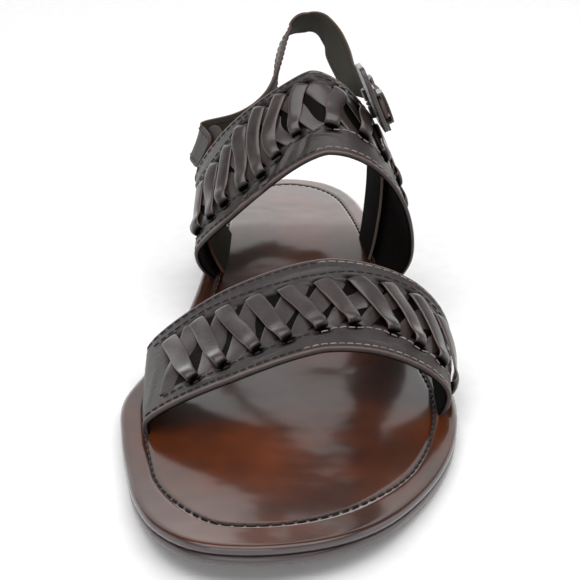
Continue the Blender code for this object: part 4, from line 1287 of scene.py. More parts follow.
BAND_WEAVE = Weave(
    top=(
        (13.0, 9.5, 19.0, 31.0, 1.2), (21.5, 9.2, 29.5, 31.5, 1.3), (30.0, 9.2, 40.1, 32.0, 1.3),
        (38.6, 9.6, 49.0, 33.5, 1.5), (49.6, 8.8, 57.2, 37.4, 1.6), (59.0, 7.8, 67.1, 40.2, 2.4),
        (67.6, 11.1, 76.8, 39.5, 2.8), (78.1, 15.4, 85.6, 38.6, 1.2), (90.6, 13.8, 96.6, 37.0, 1.0),
        (103.0, 14.6, 107.4, 37.6, 1.0), (114.0, 13.8, 118.0, 37.0, 1.0), (124.6, 12.6, 128.4, 36.4, 1.0),
        (135.0, 11.6, 138.4, 35.8, 1.0), (145.0, 10.8, 147.0, 35.2, 1.0),
    ),
    under=(
        (27.0, 11.5, 16.0, 30.0), (36.5, 11.5, 25.5, 31.0), (46.5, 11.0, 35.5, 31.5),
        (57.0, 11.0, 46.0, 34.0),
        (66.5, 11.5, 54.0, 36.0), (77.0, 14.5, 63.5, 37.0), (87.8, 15.6, 75.0, 37.0),
        (100.3, 15.4, 87.3, 36.2),
        (111.6, 15.2, 98.6, 36.0), (122.4, 14.4, 110.0, 36.0), (133.0, 13.4, 121.0, 35.6),
        (143.0, 12.4, 131.6, 35.0),
    ),
    top_width=6.0,
    under_width=8.4,
    slack=0.8,
)

# Main creases: strap, place along and over in mm, half length and half width in mm, turn of the
# line from the strap's run in degrees, height in mm
CREASES = {
    "front_strap": (
        (52.0, 4.5, 16.0, 1.6, 4.0, -0.35), (96.0, 6.5, 14.0, 1.8, -6.0, 0.35),
        (30.0, 5.0, 10.0, 1.4, -8.0, 0.30),
        (62.0, 45.0, 22.0, 1.8, 3.0, 0.30), (112.0, 46.0, 12.0, 1.6, -5.0, -0.30),
        (8.0, 20.0, 14.0, 2.2, 80.0, 0.35),
    ),
    "instep_band": (
        (62.0, 4.5, 11.0, 2.4, 34.0, -1.10), (70.0, 8.0, 9.0, 2.2, 42.0, 0.90),
        (52.0, 5.0, 9.0, 2.0, 28.0, 0.60),
        (44.0, 3.5, 10.0, 1.8, 12.0, -0.60), (80.0, 8.5, 7.0, 2.0, 60.0, -0.70),
        (86.0, 9.0, 8.0, 1.8, -20.0, 0.45),
        (74.0, 41.0, 16.0, 1.8, 8.0, 0.35), (104.0, 42.0, 12.0, 1.6, -8.0, -0.35),
        (24.0, 36.0, 16.0, 2.2, 10.0, 0.40),
    ),
}


def creased(name: str, along: Array, over: Array) -> Array:
    """Height of the main creases: each is a soft ridge or furrow along a short straight line.

    Args:
        name: The strap's key in the table of creases.
        along: Places along the strap.
        over: Places over the strap.

    Returns:
        The height: for each crease a bump along its line times a bump across it.
    """
    height = np.zeros_like(along)
    for place, line, length, half, turn, rise in CREASES[name]:
        angle = math.radians(turn)
        x, y = along - place * MM, over - line * MM
        run = x * math.cos(angle) + y * math.sin(angle)
        side = y * math.cos(angle) - x * math.sin(angle)
        height += rise * MM * hump(run, 0.0, length * MM) * hump(side, 0.0, half * MM)
    return height


@dataclass(frozen=True)
class StripCut:
    """How one layer of strips is cut and laid, in metres: heights are of a strip's middle.

    Low is its height in the hole and high between the holes. Bulge is how far it stands up
    behind the front hole, roll how far it curls there, edge how pale its cut edges show, and
    slack how far it wanders sideways. A spread is how much strips differ by chance.
    """

    width: float
    thickness: float
    low: float
    high: float
    bulge: float = 0.0
    slack: float = 0.0
    edge: float = 0.0
    roll: float = 0.0
    seed: int = 3
    rows: int = 54
    columns: int = 28
    front_turn: float = 0.0019
    rear_turn: float = 0.0026
    bulge_place: float = 0.0040
    bulge_half: float = 0.0034
    bulge_spread: float = 0.25
    lift_spread: float = 0.35
    crown: float = 0.00018
    roll_length: float = 0.0036
    front_narrow: tuple[float, float] = (0.24, 0.0080)
    rear_narrow: tuple[float, float] = (0.10, 0.0040)
    width_spread: float = 0.04
    tilt: float = -0.09
    tilt_spread: float = 0.05
    twist_spread: float = 0.10
    # Reach of the painted shade at the front and the rear end, where a strip goes into its hole
    front_shade_reach: float = 0.0014
    rear_shade_reach: float = 0.0018


def strips(name: str, strap: Strap, ends: Sequence[tuple], cut: StripCut) -> Piece:
    """Make leather strips that come out of one hole and go down into another.

    A strip's middle line runs from its front end to its rear end, with a bend and a little slack,
    a sum of three sine waves. Its height rises on a quarter circle out of each hole, and a bulge
    stands before the front one, where the strip also narrows and rolls.

    Args:
        name: Name of the piece.
        strap: The strap that carries them.
        ends: Rows of the weave's table, in millimetres.
        cut: How the strips are cut and laid.

    Returns:
        The finished strips.
    """
    random = np.random.default_rng(cut.seed)
    table = np.array([row if len(row) == 5 else (*row, 1.0) for row in ends])
    bend, places = table[:, 4:], table[:, :4] * MM
    count = len(table)
    share = np.broadcast_to(0.5 - 0.5 * np.cos(np.linspace(0, math.pi, cut.rows)), (count, cut.rows))
    luck = random.normal(0, 1, (count, 6))
    wander = cut.slack * (
        luck[:, :1] * np.sin(math.pi * share) + 0.7 * luck[:, 1:2] * np.sin(2 * math.pi * share)
        + 0.4 * luck[:, 2:3] * np.sin(3 * math.pi * share)
    )
    along = places[:, :1] + (places[:, 2:3] - places[:, :1]) * share ** bend + wander
    over = places[:, 1:2] + (places[:, 3:4] - places[:, 1:2]) * share
    step = np.hypot(np.diff(along, axis=1), np.diff(over, axis=1))
    run = np.concatenate([np.zeros((count, 1)), np.cumsum(step, axis=1)], axis=1)
    left = run[:, -1:] - run
    turn_front = np.sqrt(1 - (1 - np.clip(run / cut.front_turn, 0, 1)) ** 2)
    turn_rear = np.sqrt(1 - (1 - np.clip(left / cut.rear_turn, 0, 1)) ** 2)
    out = cut.low + (cut.high - cut.low) * np.minimum(turn_front, turn_rear)
    swell = np.exp(-((run - cut.bulge_place) / cut.bulge_half) ** 2) * turn_front
    out = out + cut.bulge * (1 + cut.bulge_spread * luck[:, 3:4]) * swell
    out = out + cut.lift_spread * cut.slack * luck[:, 4:5] ** 2 * np.sin(math.pi * share) ** 2
    ahead = unit(np.stack([np.gradient(along, axis=1), np.gradient(over, axis=1)], -1))
    angle = np.linspace(0, 2 * math.pi, cut.columns, endpoint=False)
    wide, deep = squared_off(np.cos(angle), 0.45), squared_off(np.sin(angle), 0.7)
    (front, front_reach), (rear, rear_reach) = cut.front_narrow, cut.rear_narrow
    narrow = 1 - front * np.exp(-(run / front_reach) ** 2) - rear * np.exp(-(left / rear_reach) ** 2)
    across = (0.5 * cut.width * (1 + cut.width_spread * luck[:, 5:]) * narrow)[..., None] * wide
    crown = (cut.crown + cut.roll * np.exp(-(run / cut.roll_length) ** 2))[..., None] * (1 - wide ** 2)
    twist = cut.twist_spread * luck[:, 1:2] * np.sin(2 * math.pi * share)
    lean = cut.tilt + cut.tilt_spread * luck[:, 2:3] + twist
    points = strap.place(
        along[..., None] + ahead[..., 1:] * across,
        over[..., None] - ahead[..., :1] * across,
        out[..., None] + 0.5 * cut.thickness * deep + crown + lean[..., None] * across,
    )
    raw = np.broadcast_to((np.abs(wide) > 0.94) * cut.edge, points.shape[:3])
    # Painted shade: each strip darkens towards its ends, where it goes into the holes
    dark = 1 - ramp(run, 0.0, cut.front_shade_reach) * ramp(left, 0.0, cut.rear_shade_reach)
    painted_shade = np.broadcast_to(dark[..., None], points.shape[:3])
    return grid_object(name, points, attributes={"raw": raw, "painted_shade": painted_shade})


@dataclass(frozen=True)
class Slits:
    """Relief of a woven wall: creases, a shallow recess under the strips, a pit at each end; recess and pits
    are darkened with painted shade.

    A pit is a flat-bottomed hollow: e to minus the sum of the fourth powers of its two places.
    Pits are given in millimetres from a strip's end: shift along, shift over, share of the
    strip's width, half length over.
    """

    name: str
    weave: Weave
    recess: float = 0.0005
    pit_depth: float = 0.0007
    front_margin: float = 0.0012
    rear_margin: float = 0.0010
    soft_out: float = 0.001
    soft_in: float = 0.0015
    end_in: float = 0.002
    front_pit: tuple[float, float, float, float] = (0.3, -0.9, 0.72, 1.9)
    rear_pit: tuple[float, float, float, float] = (0.0, 0.2, 0.80, 1.1)
    under_pit: tuple[float, float, float, float] = (0.5, -0.2, 0.45, 1.0)
    pit_reach: float = 0.60
    # How far the recess is darkened with painted shade
    recess_shade: float = 0.92

    def _pits(self) -> Array:
        """Place, line, width and half length of each pit.

        Returns:
            One row for each pit, in metres.
        """
        weave = self.weave
        ends = [(self.front_pit, r[0], r[1], weave.top_width) for r in weave.top]
        ends += [(self.rear_pit, r[2], r[3], weave.top_width) for r in weave.top]
        ends += [(self.under_pit, r[0], r[1], weave.under_width) for r in weave.under]
        return np.array([
            (along + pit[0], over + pit[1], pit[2] * width, pit[3]) for pit, along, over, width in ends
        ]) * MM

    def relief(self, along: Array, over: Array) -> tuple[Array, Array]:
        """Height change and mark of painted shade of the outer face.

        Args:
            along: Places along the strap.
            over: Places over the strap.

        Returns:
            The height change and the mark of painted shade, dark in the recess and the pits.
        """
        pits = self._pits()
        first = self.weave.edge(along, False) + self.front_margin
        last = self.weave.edge(along, True) - self.rear_margin
        start, stop = pits[:, 0].min(), pits[:, 0].max()
        inside = ramp(over, first - self.soft_out, first + self.soft_in)
        inside = inside * (1 - ramp(over, last - self.soft_in, last + self.soft_out))
        inside = inside * ramp(along, start - self.soft_out, start + self.end_in)
        inside = inside * (1 - ramp(along, stop - self.end_in, stop + self.soft_out))
        pit = np.zeros_like(along)
        for place, line, width, half in pits:
            far = ((along - place) / (self.pit_reach * width)) ** 4 + ((over - line) / half) ** 4
            pit = np.maximum(pit, np.exp(-far))
        creases = creased(self.name, along, over) * (1 - inside)
        # Painted shade: the recess and every pit get the shade mark
        return creases - self.recess * inside - self.pit_depth * pit, np.clip(
            self.recess_shade * inside + pit, 0, 1,
        )


def stitches(
    name: str, surface: Strap | Ribbon, along: tuple[float, float], over: Callable[[Array], Array] | float,
    out: float, pitch: float = 0.0030, radius: float = 0.00027, face: Face = Face.OUTER,
    change: Callable[[Array, Array], Array] | None = None,
) -> Piece:
    """Sew one row of stitches along a strap; each rises and falls with a fourth power.

    Args:
        name: Name of the piece.
        surface: The strap.
        along: First and last place along it.
        over: Place over the strap, fixed or by place along.
        out: Height of the face that carries the row.
        pitch: Length of one stitch.
        radius: Radius of the thread.
        face: The face that carries the row.
        change: The face's own relief, which the row follows.

    Returns:
        The row as one mesh.
    """
    side = face.value
    count = max(2, int(round((along[1] - along[0]) / pitch)))
    middle = along[0] + (np.arange(count) + 0.5) * (along[1] - along[0]) / count
    reach = np.linspace(-0.41, 0.41, 7) * (along[1] - along[0]) / count
    at = middle[:, None] + reach
    line = over(at) if callable(over) else np.full_like(at, over)
    rise = side * (radius * 0.9 * (1 - (reach / reach[-1]) ** 4) - 0.5 * radius)
    if change is not None:
        rise = rise + change(at, line)
    centre = surface.place(at, line, np.broadcast_to(out + rise, at.shape))
    above = surface.place(at, line, np.broadcast_to(out + rise + 0.001 * side, at.shape))
    return thread(name, centre, unit(above - centre), radius)


@dataclass(frozen=True)
class FlatFrame:
    """A small frame for flat pieces: forwards along the strap, up and out."""

    origin: Array
    forward: Array
    up: Array
    out: Array

    def place(self, forward: Array, up: Array, out: Array) -> Array:
        """World points from places in the frame."""
        forward, up, out = (np.asarray(v, float)[..., None] for v in (forward, up, out))
        return self.origin + self.forward * forward + self.up * up + self.out * out


@dataclass(eq=False)
class Ribbon:
    """A strap that runs free through space, as a path with a direction and a width across it.

    The known points are joined by smooth curves and averaged with their neighbours. Between the
    two places of slow_start and slow_end a wider average takes over, where the strap hangs free.
    """

    known: Array
    across: Array
    known_widths: Array
    count: int = 900
    reach: int = 14
    slow_reach: int = 60
    slow_start: tuple[float, float] = (0.006, 0.020)
    slow_end: tuple[float, float] = (0.070, 0.110)
    points: Array = field(init=False)
    side: Array = field(init=False)
    out: Array = field(init=False)
    run: Array = field(init=False)
    widths: Array = field(init=False)
    length: float = field(init=False)
    width: float = field(init=False)

    def __post_init__(self) -> None:
        """Smooth the path and set up the directions across it and out of it."""
        run = run_of(self.known)
        fine = np.linspace(0, run[-1], self.count)
        path, side = (
            np.stack([smooth_curve(run, rows[:, k], fine) for k in range(3)], -1)
            for rows in (self.known, self.across)
        )
        slow = (ramp(fine, *self.slow_start) * (1 - ramp(fine, *self.slow_end)))[:, None]
        self.points, side = (
            self._eased(rows, self.reach) * (1 - slow) + self._eased(rows, self.slow_reach) * slow
            for rows in (path, side)
        )
        self.widths = smooth_curve(run, self.known_widths, fine)
        self.run = run_of(self.points)
        self.length = float(self.run[-1])
        self.width = float(self.known_widths[0])
        ahead = unit(np.gradient(self.points, self.run, axis=0))
        side = side - ahead * (side * ahead).sum(axis=1, keepdims=True)
        self.side = unit(side)
        self.out = np.cross(self.side, ahead)

    @staticmethod
    def _eased(values: Array, reach: int) -> Array:
        """The values averaged with their neighbours by a bell, with the ends held.

        Args:
            values: Rows of three values.
            reach: Neighbours on each side.

        Returns:
            The averaged rows.
        """
        window = np.hanning(2 * reach + 1)
        padded = np.concatenate([
            2 * values[:1] - values[reach:0:-1], values, 2 * values[-1:] - values[-2:-reach - 2:-1],
        ])
        return np.stack([np.convolve(padded[:, k], window / window.sum(), "valid") for k in range(3)], -1)

    def _at(self, values: Array, along: Array) -> Array:
        """Rows of three values at places along the path."""
        return np.stack([np.interp(along, self.run, values[:, k]) for k in range(3)], -1)

    def place(self, along: Array, over: Array, out: Array) -> Array:
        """World points of the strap.

        Args:
            along: Places along the path.
            over: Places over the strap from its lower edge.
            out: Distances out from its inner face.

        Returns:
            The points: the path's point, moved across it and out of it.
        """
        along, over, out = np.broadcast_arrays(along, over, out)
        across = (over / self.width - 0.5) * np.interp(along, self.run, self.widths)
        return (
            self._at(self.points, along) + self._at(self.side, along) * across[..., None]
            + self._at(self.out, along) * out[..., None]
        )


def extrude(
    name: str, frame: FlatFrame, profile: Sequence[tuple[float, float]], low: float, high: float,
    turned: bool = False, round_off: float = 0.0004, corners: tuple[float, float] = (0.0, 0.0),
) -> Piece:
    """Extrude a closed profile in a flat frame, with its two ends rounded off.

    Args:
        name: Name of the piece.
        frame: The frame that the profile is drawn in.
        profile: Points as (forward, out), or as (up, out) where it is turned.
        low: Start of the extrusion, along up, or along forward where it is turned.
        high: End of the extrusion.
        turned: Whether the profile is drawn across the strap.
        round_off: Radius of the rounding at both ends.
        corners: Radius of the round corners of a plate at its low and at its high end.

    Returns:
        The finished piece.
    """
    shape = np.array(profile)
    ahead = unit(np.roll(shape, -1, axis=0) - np.roll(shape, 1, axis=0))
    inward = np.stack([-ahead[:, 1], ahead[:, 0]], -1)
    area = (shape[:, 0] * np.roll(shape[:, 1], -1) - np.roll(shape[:, 0], -1) * shape[:, 1]).sum()
    inward = inward * np.sign(area)
    levels = dense_ends(low, high, (max(round_off, corners[0]), max(round_off, corners[1])), 6)
    soft = corner_inset(levels - low, round_off) + corner_inset(high - levels, round_off)
    rows = shape[None] + inward[None] * soft[:, None, None]
    cut = corner_inset(levels - low, corners[0]) + corner_inset(high - levels, corners[1])
    middle = 0.5 * (shape[:, 0].min() + shape[:, 0].max())
    reach = shape[:, 0].max() - middle
    rows[..., 0] = middle + (rows[..., 0] - middle) * (1 - cut / reach)[:, None]
    heights = np.broadcast_to(levels[:, None], rows.shape[:2])
    first, second = (heights, rows[..., 0]) if turned else (rows[..., 0], heights)
    return grid_object(name, frame.place(first, second, rows[..., 1])[None])


def arc(centre: tuple[float, float], radius: float, start: float, stop: float, steps: int) -> list:
    """Points on an arc, from one angle in degrees to another."""
    angles = np.radians(np.linspace(start, stop, steps))
    return [(centre[0] + radius * math.cos(a), centre[1] + radius * math.sin(a)) for a in angles]


def rounded_box(left: float, right: float, low: float, high: float, radius: float) -> list:
    """Outline of a box with round corners.

    Args:
        left: Its least first place.
        right: Its greatest first place.
        low: Its least second place.
        high: Its greatest second place.
        radius: Radius of the corners.

    Returns:
        Points all the way round.
    """
    corners = (
        (right - radius, high - radius, 0), (left + radius, high - radius, 90),
        (left + radius, low + radius, 180), (right - radius, low + radius, 270),
    )
    return [point for x, y, start in corners for point in arc((x, y), radius, start, start + 90, 6)]


def wire(name: str, path: Array, radius: float, closed: bool) -> Piece:
    """Sweep a round wire along a flat path.

    Args:
        name: Name of the piece.
        path: Middle line of the wire.
        radius: Radius of the wire.
        closed: Whether the path closes; an open wire is thinner at its last point.

    Returns:
        The finished wire.
    """
    ahead = np.roll(path, -1, axis=0) - np.roll(path, 1, axis=0)
    size = np.full(len(path), radius)
    if not closed:
        ahead[0], ahead[-1] = path[1] - path[0], path[-1] - path[-2]
        size[-1] = radius * 0.6
    ahead = unit(ahead)
    plane = unit(np.linalg.svd(path - path.mean(axis=0))[2][2])
    side = unit(np.cross(ahead, plane))
    up = np.cross(side, ahead)
    angle = np.linspace(0, 2 * math.pi, 16, endpoint=False)[None, :, None]
    offset = side[:, None] * np.cos(angle) + up[:, None] * np.sin(angle)
    points = path[:, None] + offset * size[:, None, None]
    if closed:
        points = np.concatenate([points, points[:1]])
    return grid_object(name, points[None], caps=not closed, weld=closed)


@dataclass
class Closure:
    """The lateral tab, the buckle's frame and prong, and the keeper, with the strap's way through.

    Sizes are as the construction has them. Station, across and height place the tab as shares
    of the sole length, half the ball width and the instep height.
    """

    station: float = 0.300
    across: float = 0.6245
    height: float = 1.084
    slope: float = 23.0
    turn: tuple[float, float] = (0.12, -0.05)
    tab_below: float = 0.0085
    tab_above: float = 0.0190
    tab_thickness: float = 0.0020
    tab_length: float = 0.020
    tab_edge: float = 0.0006
    tab_corners: tuple[float, float] = (0.0018, 0.0060)
    eye_wall: float = 0.0012
    eye_mouth: float = 8.0
    wire: float = 0.0019
    opening: float = 0.0120
    side_play: float = 0.0010
    prong: float = 0.0013
    prong_notch: float = 0.0028
    prong_past: float = 0.0015
    strap_width: float = 0.016
    end_width: float = 0.011
    ear_seam: float = 0.016
    seam_margin: float = 0.002
    entry: float = 0.010
    landing: float = 0.0060
    rest_gaps: float = 1.5
    keeper_place: float = 0.0080
    keeper_length: float = 0.008
    keeper_thickness: float = 0.0010
    keeper_flange: float = 0.0025
    keeper_play: float = 0.0009
    keeper_crown: float = 0.15
    tail: float = 0.0175
    bore: float = field(init=False)
    ring: float = field(init=False)
    front: tuple[float, float] = field(init=False)
    rear: tuple[float, float] = field(init=False)
    eye_side: float = field(init=False)
    frame: FlatFrame = field(init=False)

    def __post_init__(self) -> None:
        """Work out the eye's bore, the prong's ring, both bars (forward, out) and the frame.

        The frame's origin is on the tab's outer face at its rear end.
        """
        self.bore = self.wire / 2 + SIZES.joint_gap
        self.ring = self.bore + self.prong
        self.front = (-self.bore - self.eye_wall, -self.tab_thickness / 2)
        self.rear = (self.front[0] - self.opening, SIZES.heel_strap + SIZES.joint_gap + self.wire / 2)
        self.eye_side = self.end_width / 2 + self.side_play
        slope = math.radians(self.slope)
        up = np.array([-math.sin(slope), 0.0, math.cos(slope)])
        forward = np.array([self.turn[0], -1.0, self.turn[1]])
        forward = unit(forward - up * float(forward @ up))
        origin = np.array([
            self.across * SIZES.half_ball, to_y(self.station * SIZES.sole_length),
            self.height * SIZES.instep_height,
        ])
        self.frame = FlatFrame(origin, forward, up, np.cross(up, forward))

    def heel_ribbon(self, stay: Strap) -> Ribbon:
        """The heel strap's path from the ear, round the heel, to the closure.

        Args:
            stay: The medial stay, whose ear carries the strap's first end.

        Returns:
            The ribbon.
        """
        gap = SIZES.joint_gap
        rows = []
        seam = stay.length * SIZES.stay_reach - self.strap_width / 2 - self.seam_margin
        for share, lift in EAR_STEPS:
            over = stay.width - self.ear_seam * (1 - share)
            inner = stay.place(
                np.array([seam - self.seam_margin, seam + self.seam_margin]), np.array([over, over]),
                SIZES.stay + gap * (1 + lift),
            )
            rows.append((*inner[0], *unit(inner[1] - inner[0]), self.strap_width))
        free = np.array([
            (row[1] * SIZES.half_ball, to_y(row[0] * SIZES.sole_length), row[2] * SIZES.instep_height)
            for row in HEEL_STRAP_PATH
        ])
        for point, ahead, row in zip(free, np.gradient(free, axis=0), HEEL_STRAP_PATH):
            outward = unit(np.array([-ahead[1], ahead[0], 0.0]))
            lean = math.radians(row[3])
            across = np.array([0.0, 0.0, math.cos(lean)]) + outward * math.sin(lean)
            rows.append((*point, *across, self.strap_width + (self.end_width - self.strap_width) * row[4]))
        rest = self.rest_gaps * gap
        over_eye = self.front[1] + max(self.bore + self.eye_wall, self.ring) + rest
        for forward, out in (
            (self.rear[0] - self.entry, -gap), (self.rear[0], 0.0), (self.front[0] - self.ring, over_eye),
            (self.front[0] + self.bore, over_eye), (self.front[0] + self.landing, rest),
            (self.keeper_place, rest), (self.tail, rest),
        ):
            rows.append((*self.frame.place(forward, 0.0, out), *self.frame.up, self.end_width))
        table = np.array(rows)
        return Ribbon(table[:, :3], table[:, 3:6], table[:, 6])

    def build(self) -> list[Piece]:
        """Build the tab with its eye, the keeper, the wire frame and the prong.

        Returns:
            The dressed pieces.
        """
        leather, metal = STRIP_LEATHER.material(), AGED_BRASS.material()
        outer = self.bore + self.eye_wall
        plate = extrude(
            "lateral_tab_plate", self.frame,
            rounded_box(self.front[0] + outer, self.tab_length, -self.tab_thickness, 0.0, self.tab_edge),
            -self.tab_below, self.tab_above, round_off=0.0005, corners=self.tab_corners,
        )
        pieces = [dress(plate, leather, "strap_leather", "lateral_tab")]
        turn, mouth = math.degrees(math.asin((self.tab_thickness / 2) / outer)), self.eye_mouth
        sleeve = arc(self.front, outer, turn, 360 - turn, 40)
        sleeve += arc(self.front, self.bore, 360 - mouth, mouth, 40)
        notch = self.prong_notch / 2
        for label, low, high in (("low", -self.eye_side, -notch), ("high", notch, self.eye_side)):
            eye = extrude(f"lateral_tab_eye_{label}", self.frame, sleeve, low, high, round_off=0.00025)
            pieces.append(dress(eye, leather, "strap_leather"))
        keeper = extrude(
            "keeper_loop", self.frame, self._keeper_profile(), self.keeper_place,
            self.keeper_place + self.keeper_length, turned=True, round_off=0.0003,
        )
        pieces.append(dress(keeper, leather, "strap_leather", "keeper"))
        pieces.append(dress(self._wire_frame(), metal, "buckle_metal", "buckle_frame"))
        pieces.append(dress(self._pin(), metal, "buckle_metal", "buckle_prong"))
        return pieces

    def _keeper_profile(self) -> list:
        """The keeper across the strap: two flanges and a low arch.

        Returns:
            Points (up, out) all the way round.
        """
        inner = self.end_width / 2 + SIZES.joint_gap
        rise, thick, foot = SIZES.heel_strap + self.keeper_play, self.keeper_thickness, SIZES.joint_gap / 3

        def bridge(width: float, height: float, base: float) -> list:
            """One side of the arch: an ellipse cut off low, on two straight legs.

            Args:
                width: Half the width between the legs.
                height: Height of the crown above the foot.
                base: Height at which the legs start.

            Returns:
                Points (up, out) from leg to leg.
            """
            crown = [
                (width * x, foot + height * (1 - self.keeper_crown * (1 - y)))
                for x, y in arc((0.0, 0.0), 1.0, 12, 168, 25)
            ]
            return [(width, base)] + crown + [(-width, base)]

        end = inner + thick + self.keeper_flange
        return (
            [(end, foot), (end, foot + thick)] + bridge(inner + thick, rise + thick, foot + thick)
            + [(-end, foot + thick), (-end, foot)] + bridge(inner, rise, foot)[::-1]
        )

    def _wire_frame(self) -> Piece:
        """The wire frame: four straight sides with round corners, tilted over the strap.

        Returns:
            The bare piece.
        """
        radius = self.wire / 2
        reach, corner = self.eye_side + SIZES.joint_gap + radius, 2 * radius
        places = []
        for sign_up, at_rear, start in ((1, False, -90), (1, True, 0), (-1, True, 90), (-1, False, 180)):
            centre = (sign_up * (reach - corner), self.opening - corner if at_rear else corner)
            for up, far in arc(centre, corner, start, start + 90, 10):
                out = self.front[1] + (self.rear[1] - self.front[1]) * far / self.opening
                places.append(self.frame.place(self.front[0] - far, up, out))
        return wire("buckle_frame_wire", np.array(places), radius, True)

    def _pin(self) -> Piece:
        """The prong: a ring round the front bar, then a pin that rests on the rear bar.

        Returns:
            The bare piece.
        """
        loop = self.bore + self.prong / 2
        rest = self.rear[1] + (self.wire + self.prong) / 2 + SIZES.joint_gap
        pin = arc(self.front, loop, -200, 80, 30) + [
            (self.front[0] + (self.rear[0] - self.front[0]) * 0.40, self.front[1] + loop + self.prong),
            (self.rear[0] + self.prong, rest), (self.rear[0] - self.prong_past, rest),
        ]
        places = np.array([self.frame.place(forward, 0.0, out) for forward, out in pin])
        return wire("buckle_prong_pin", places, self.prong / 2, False)


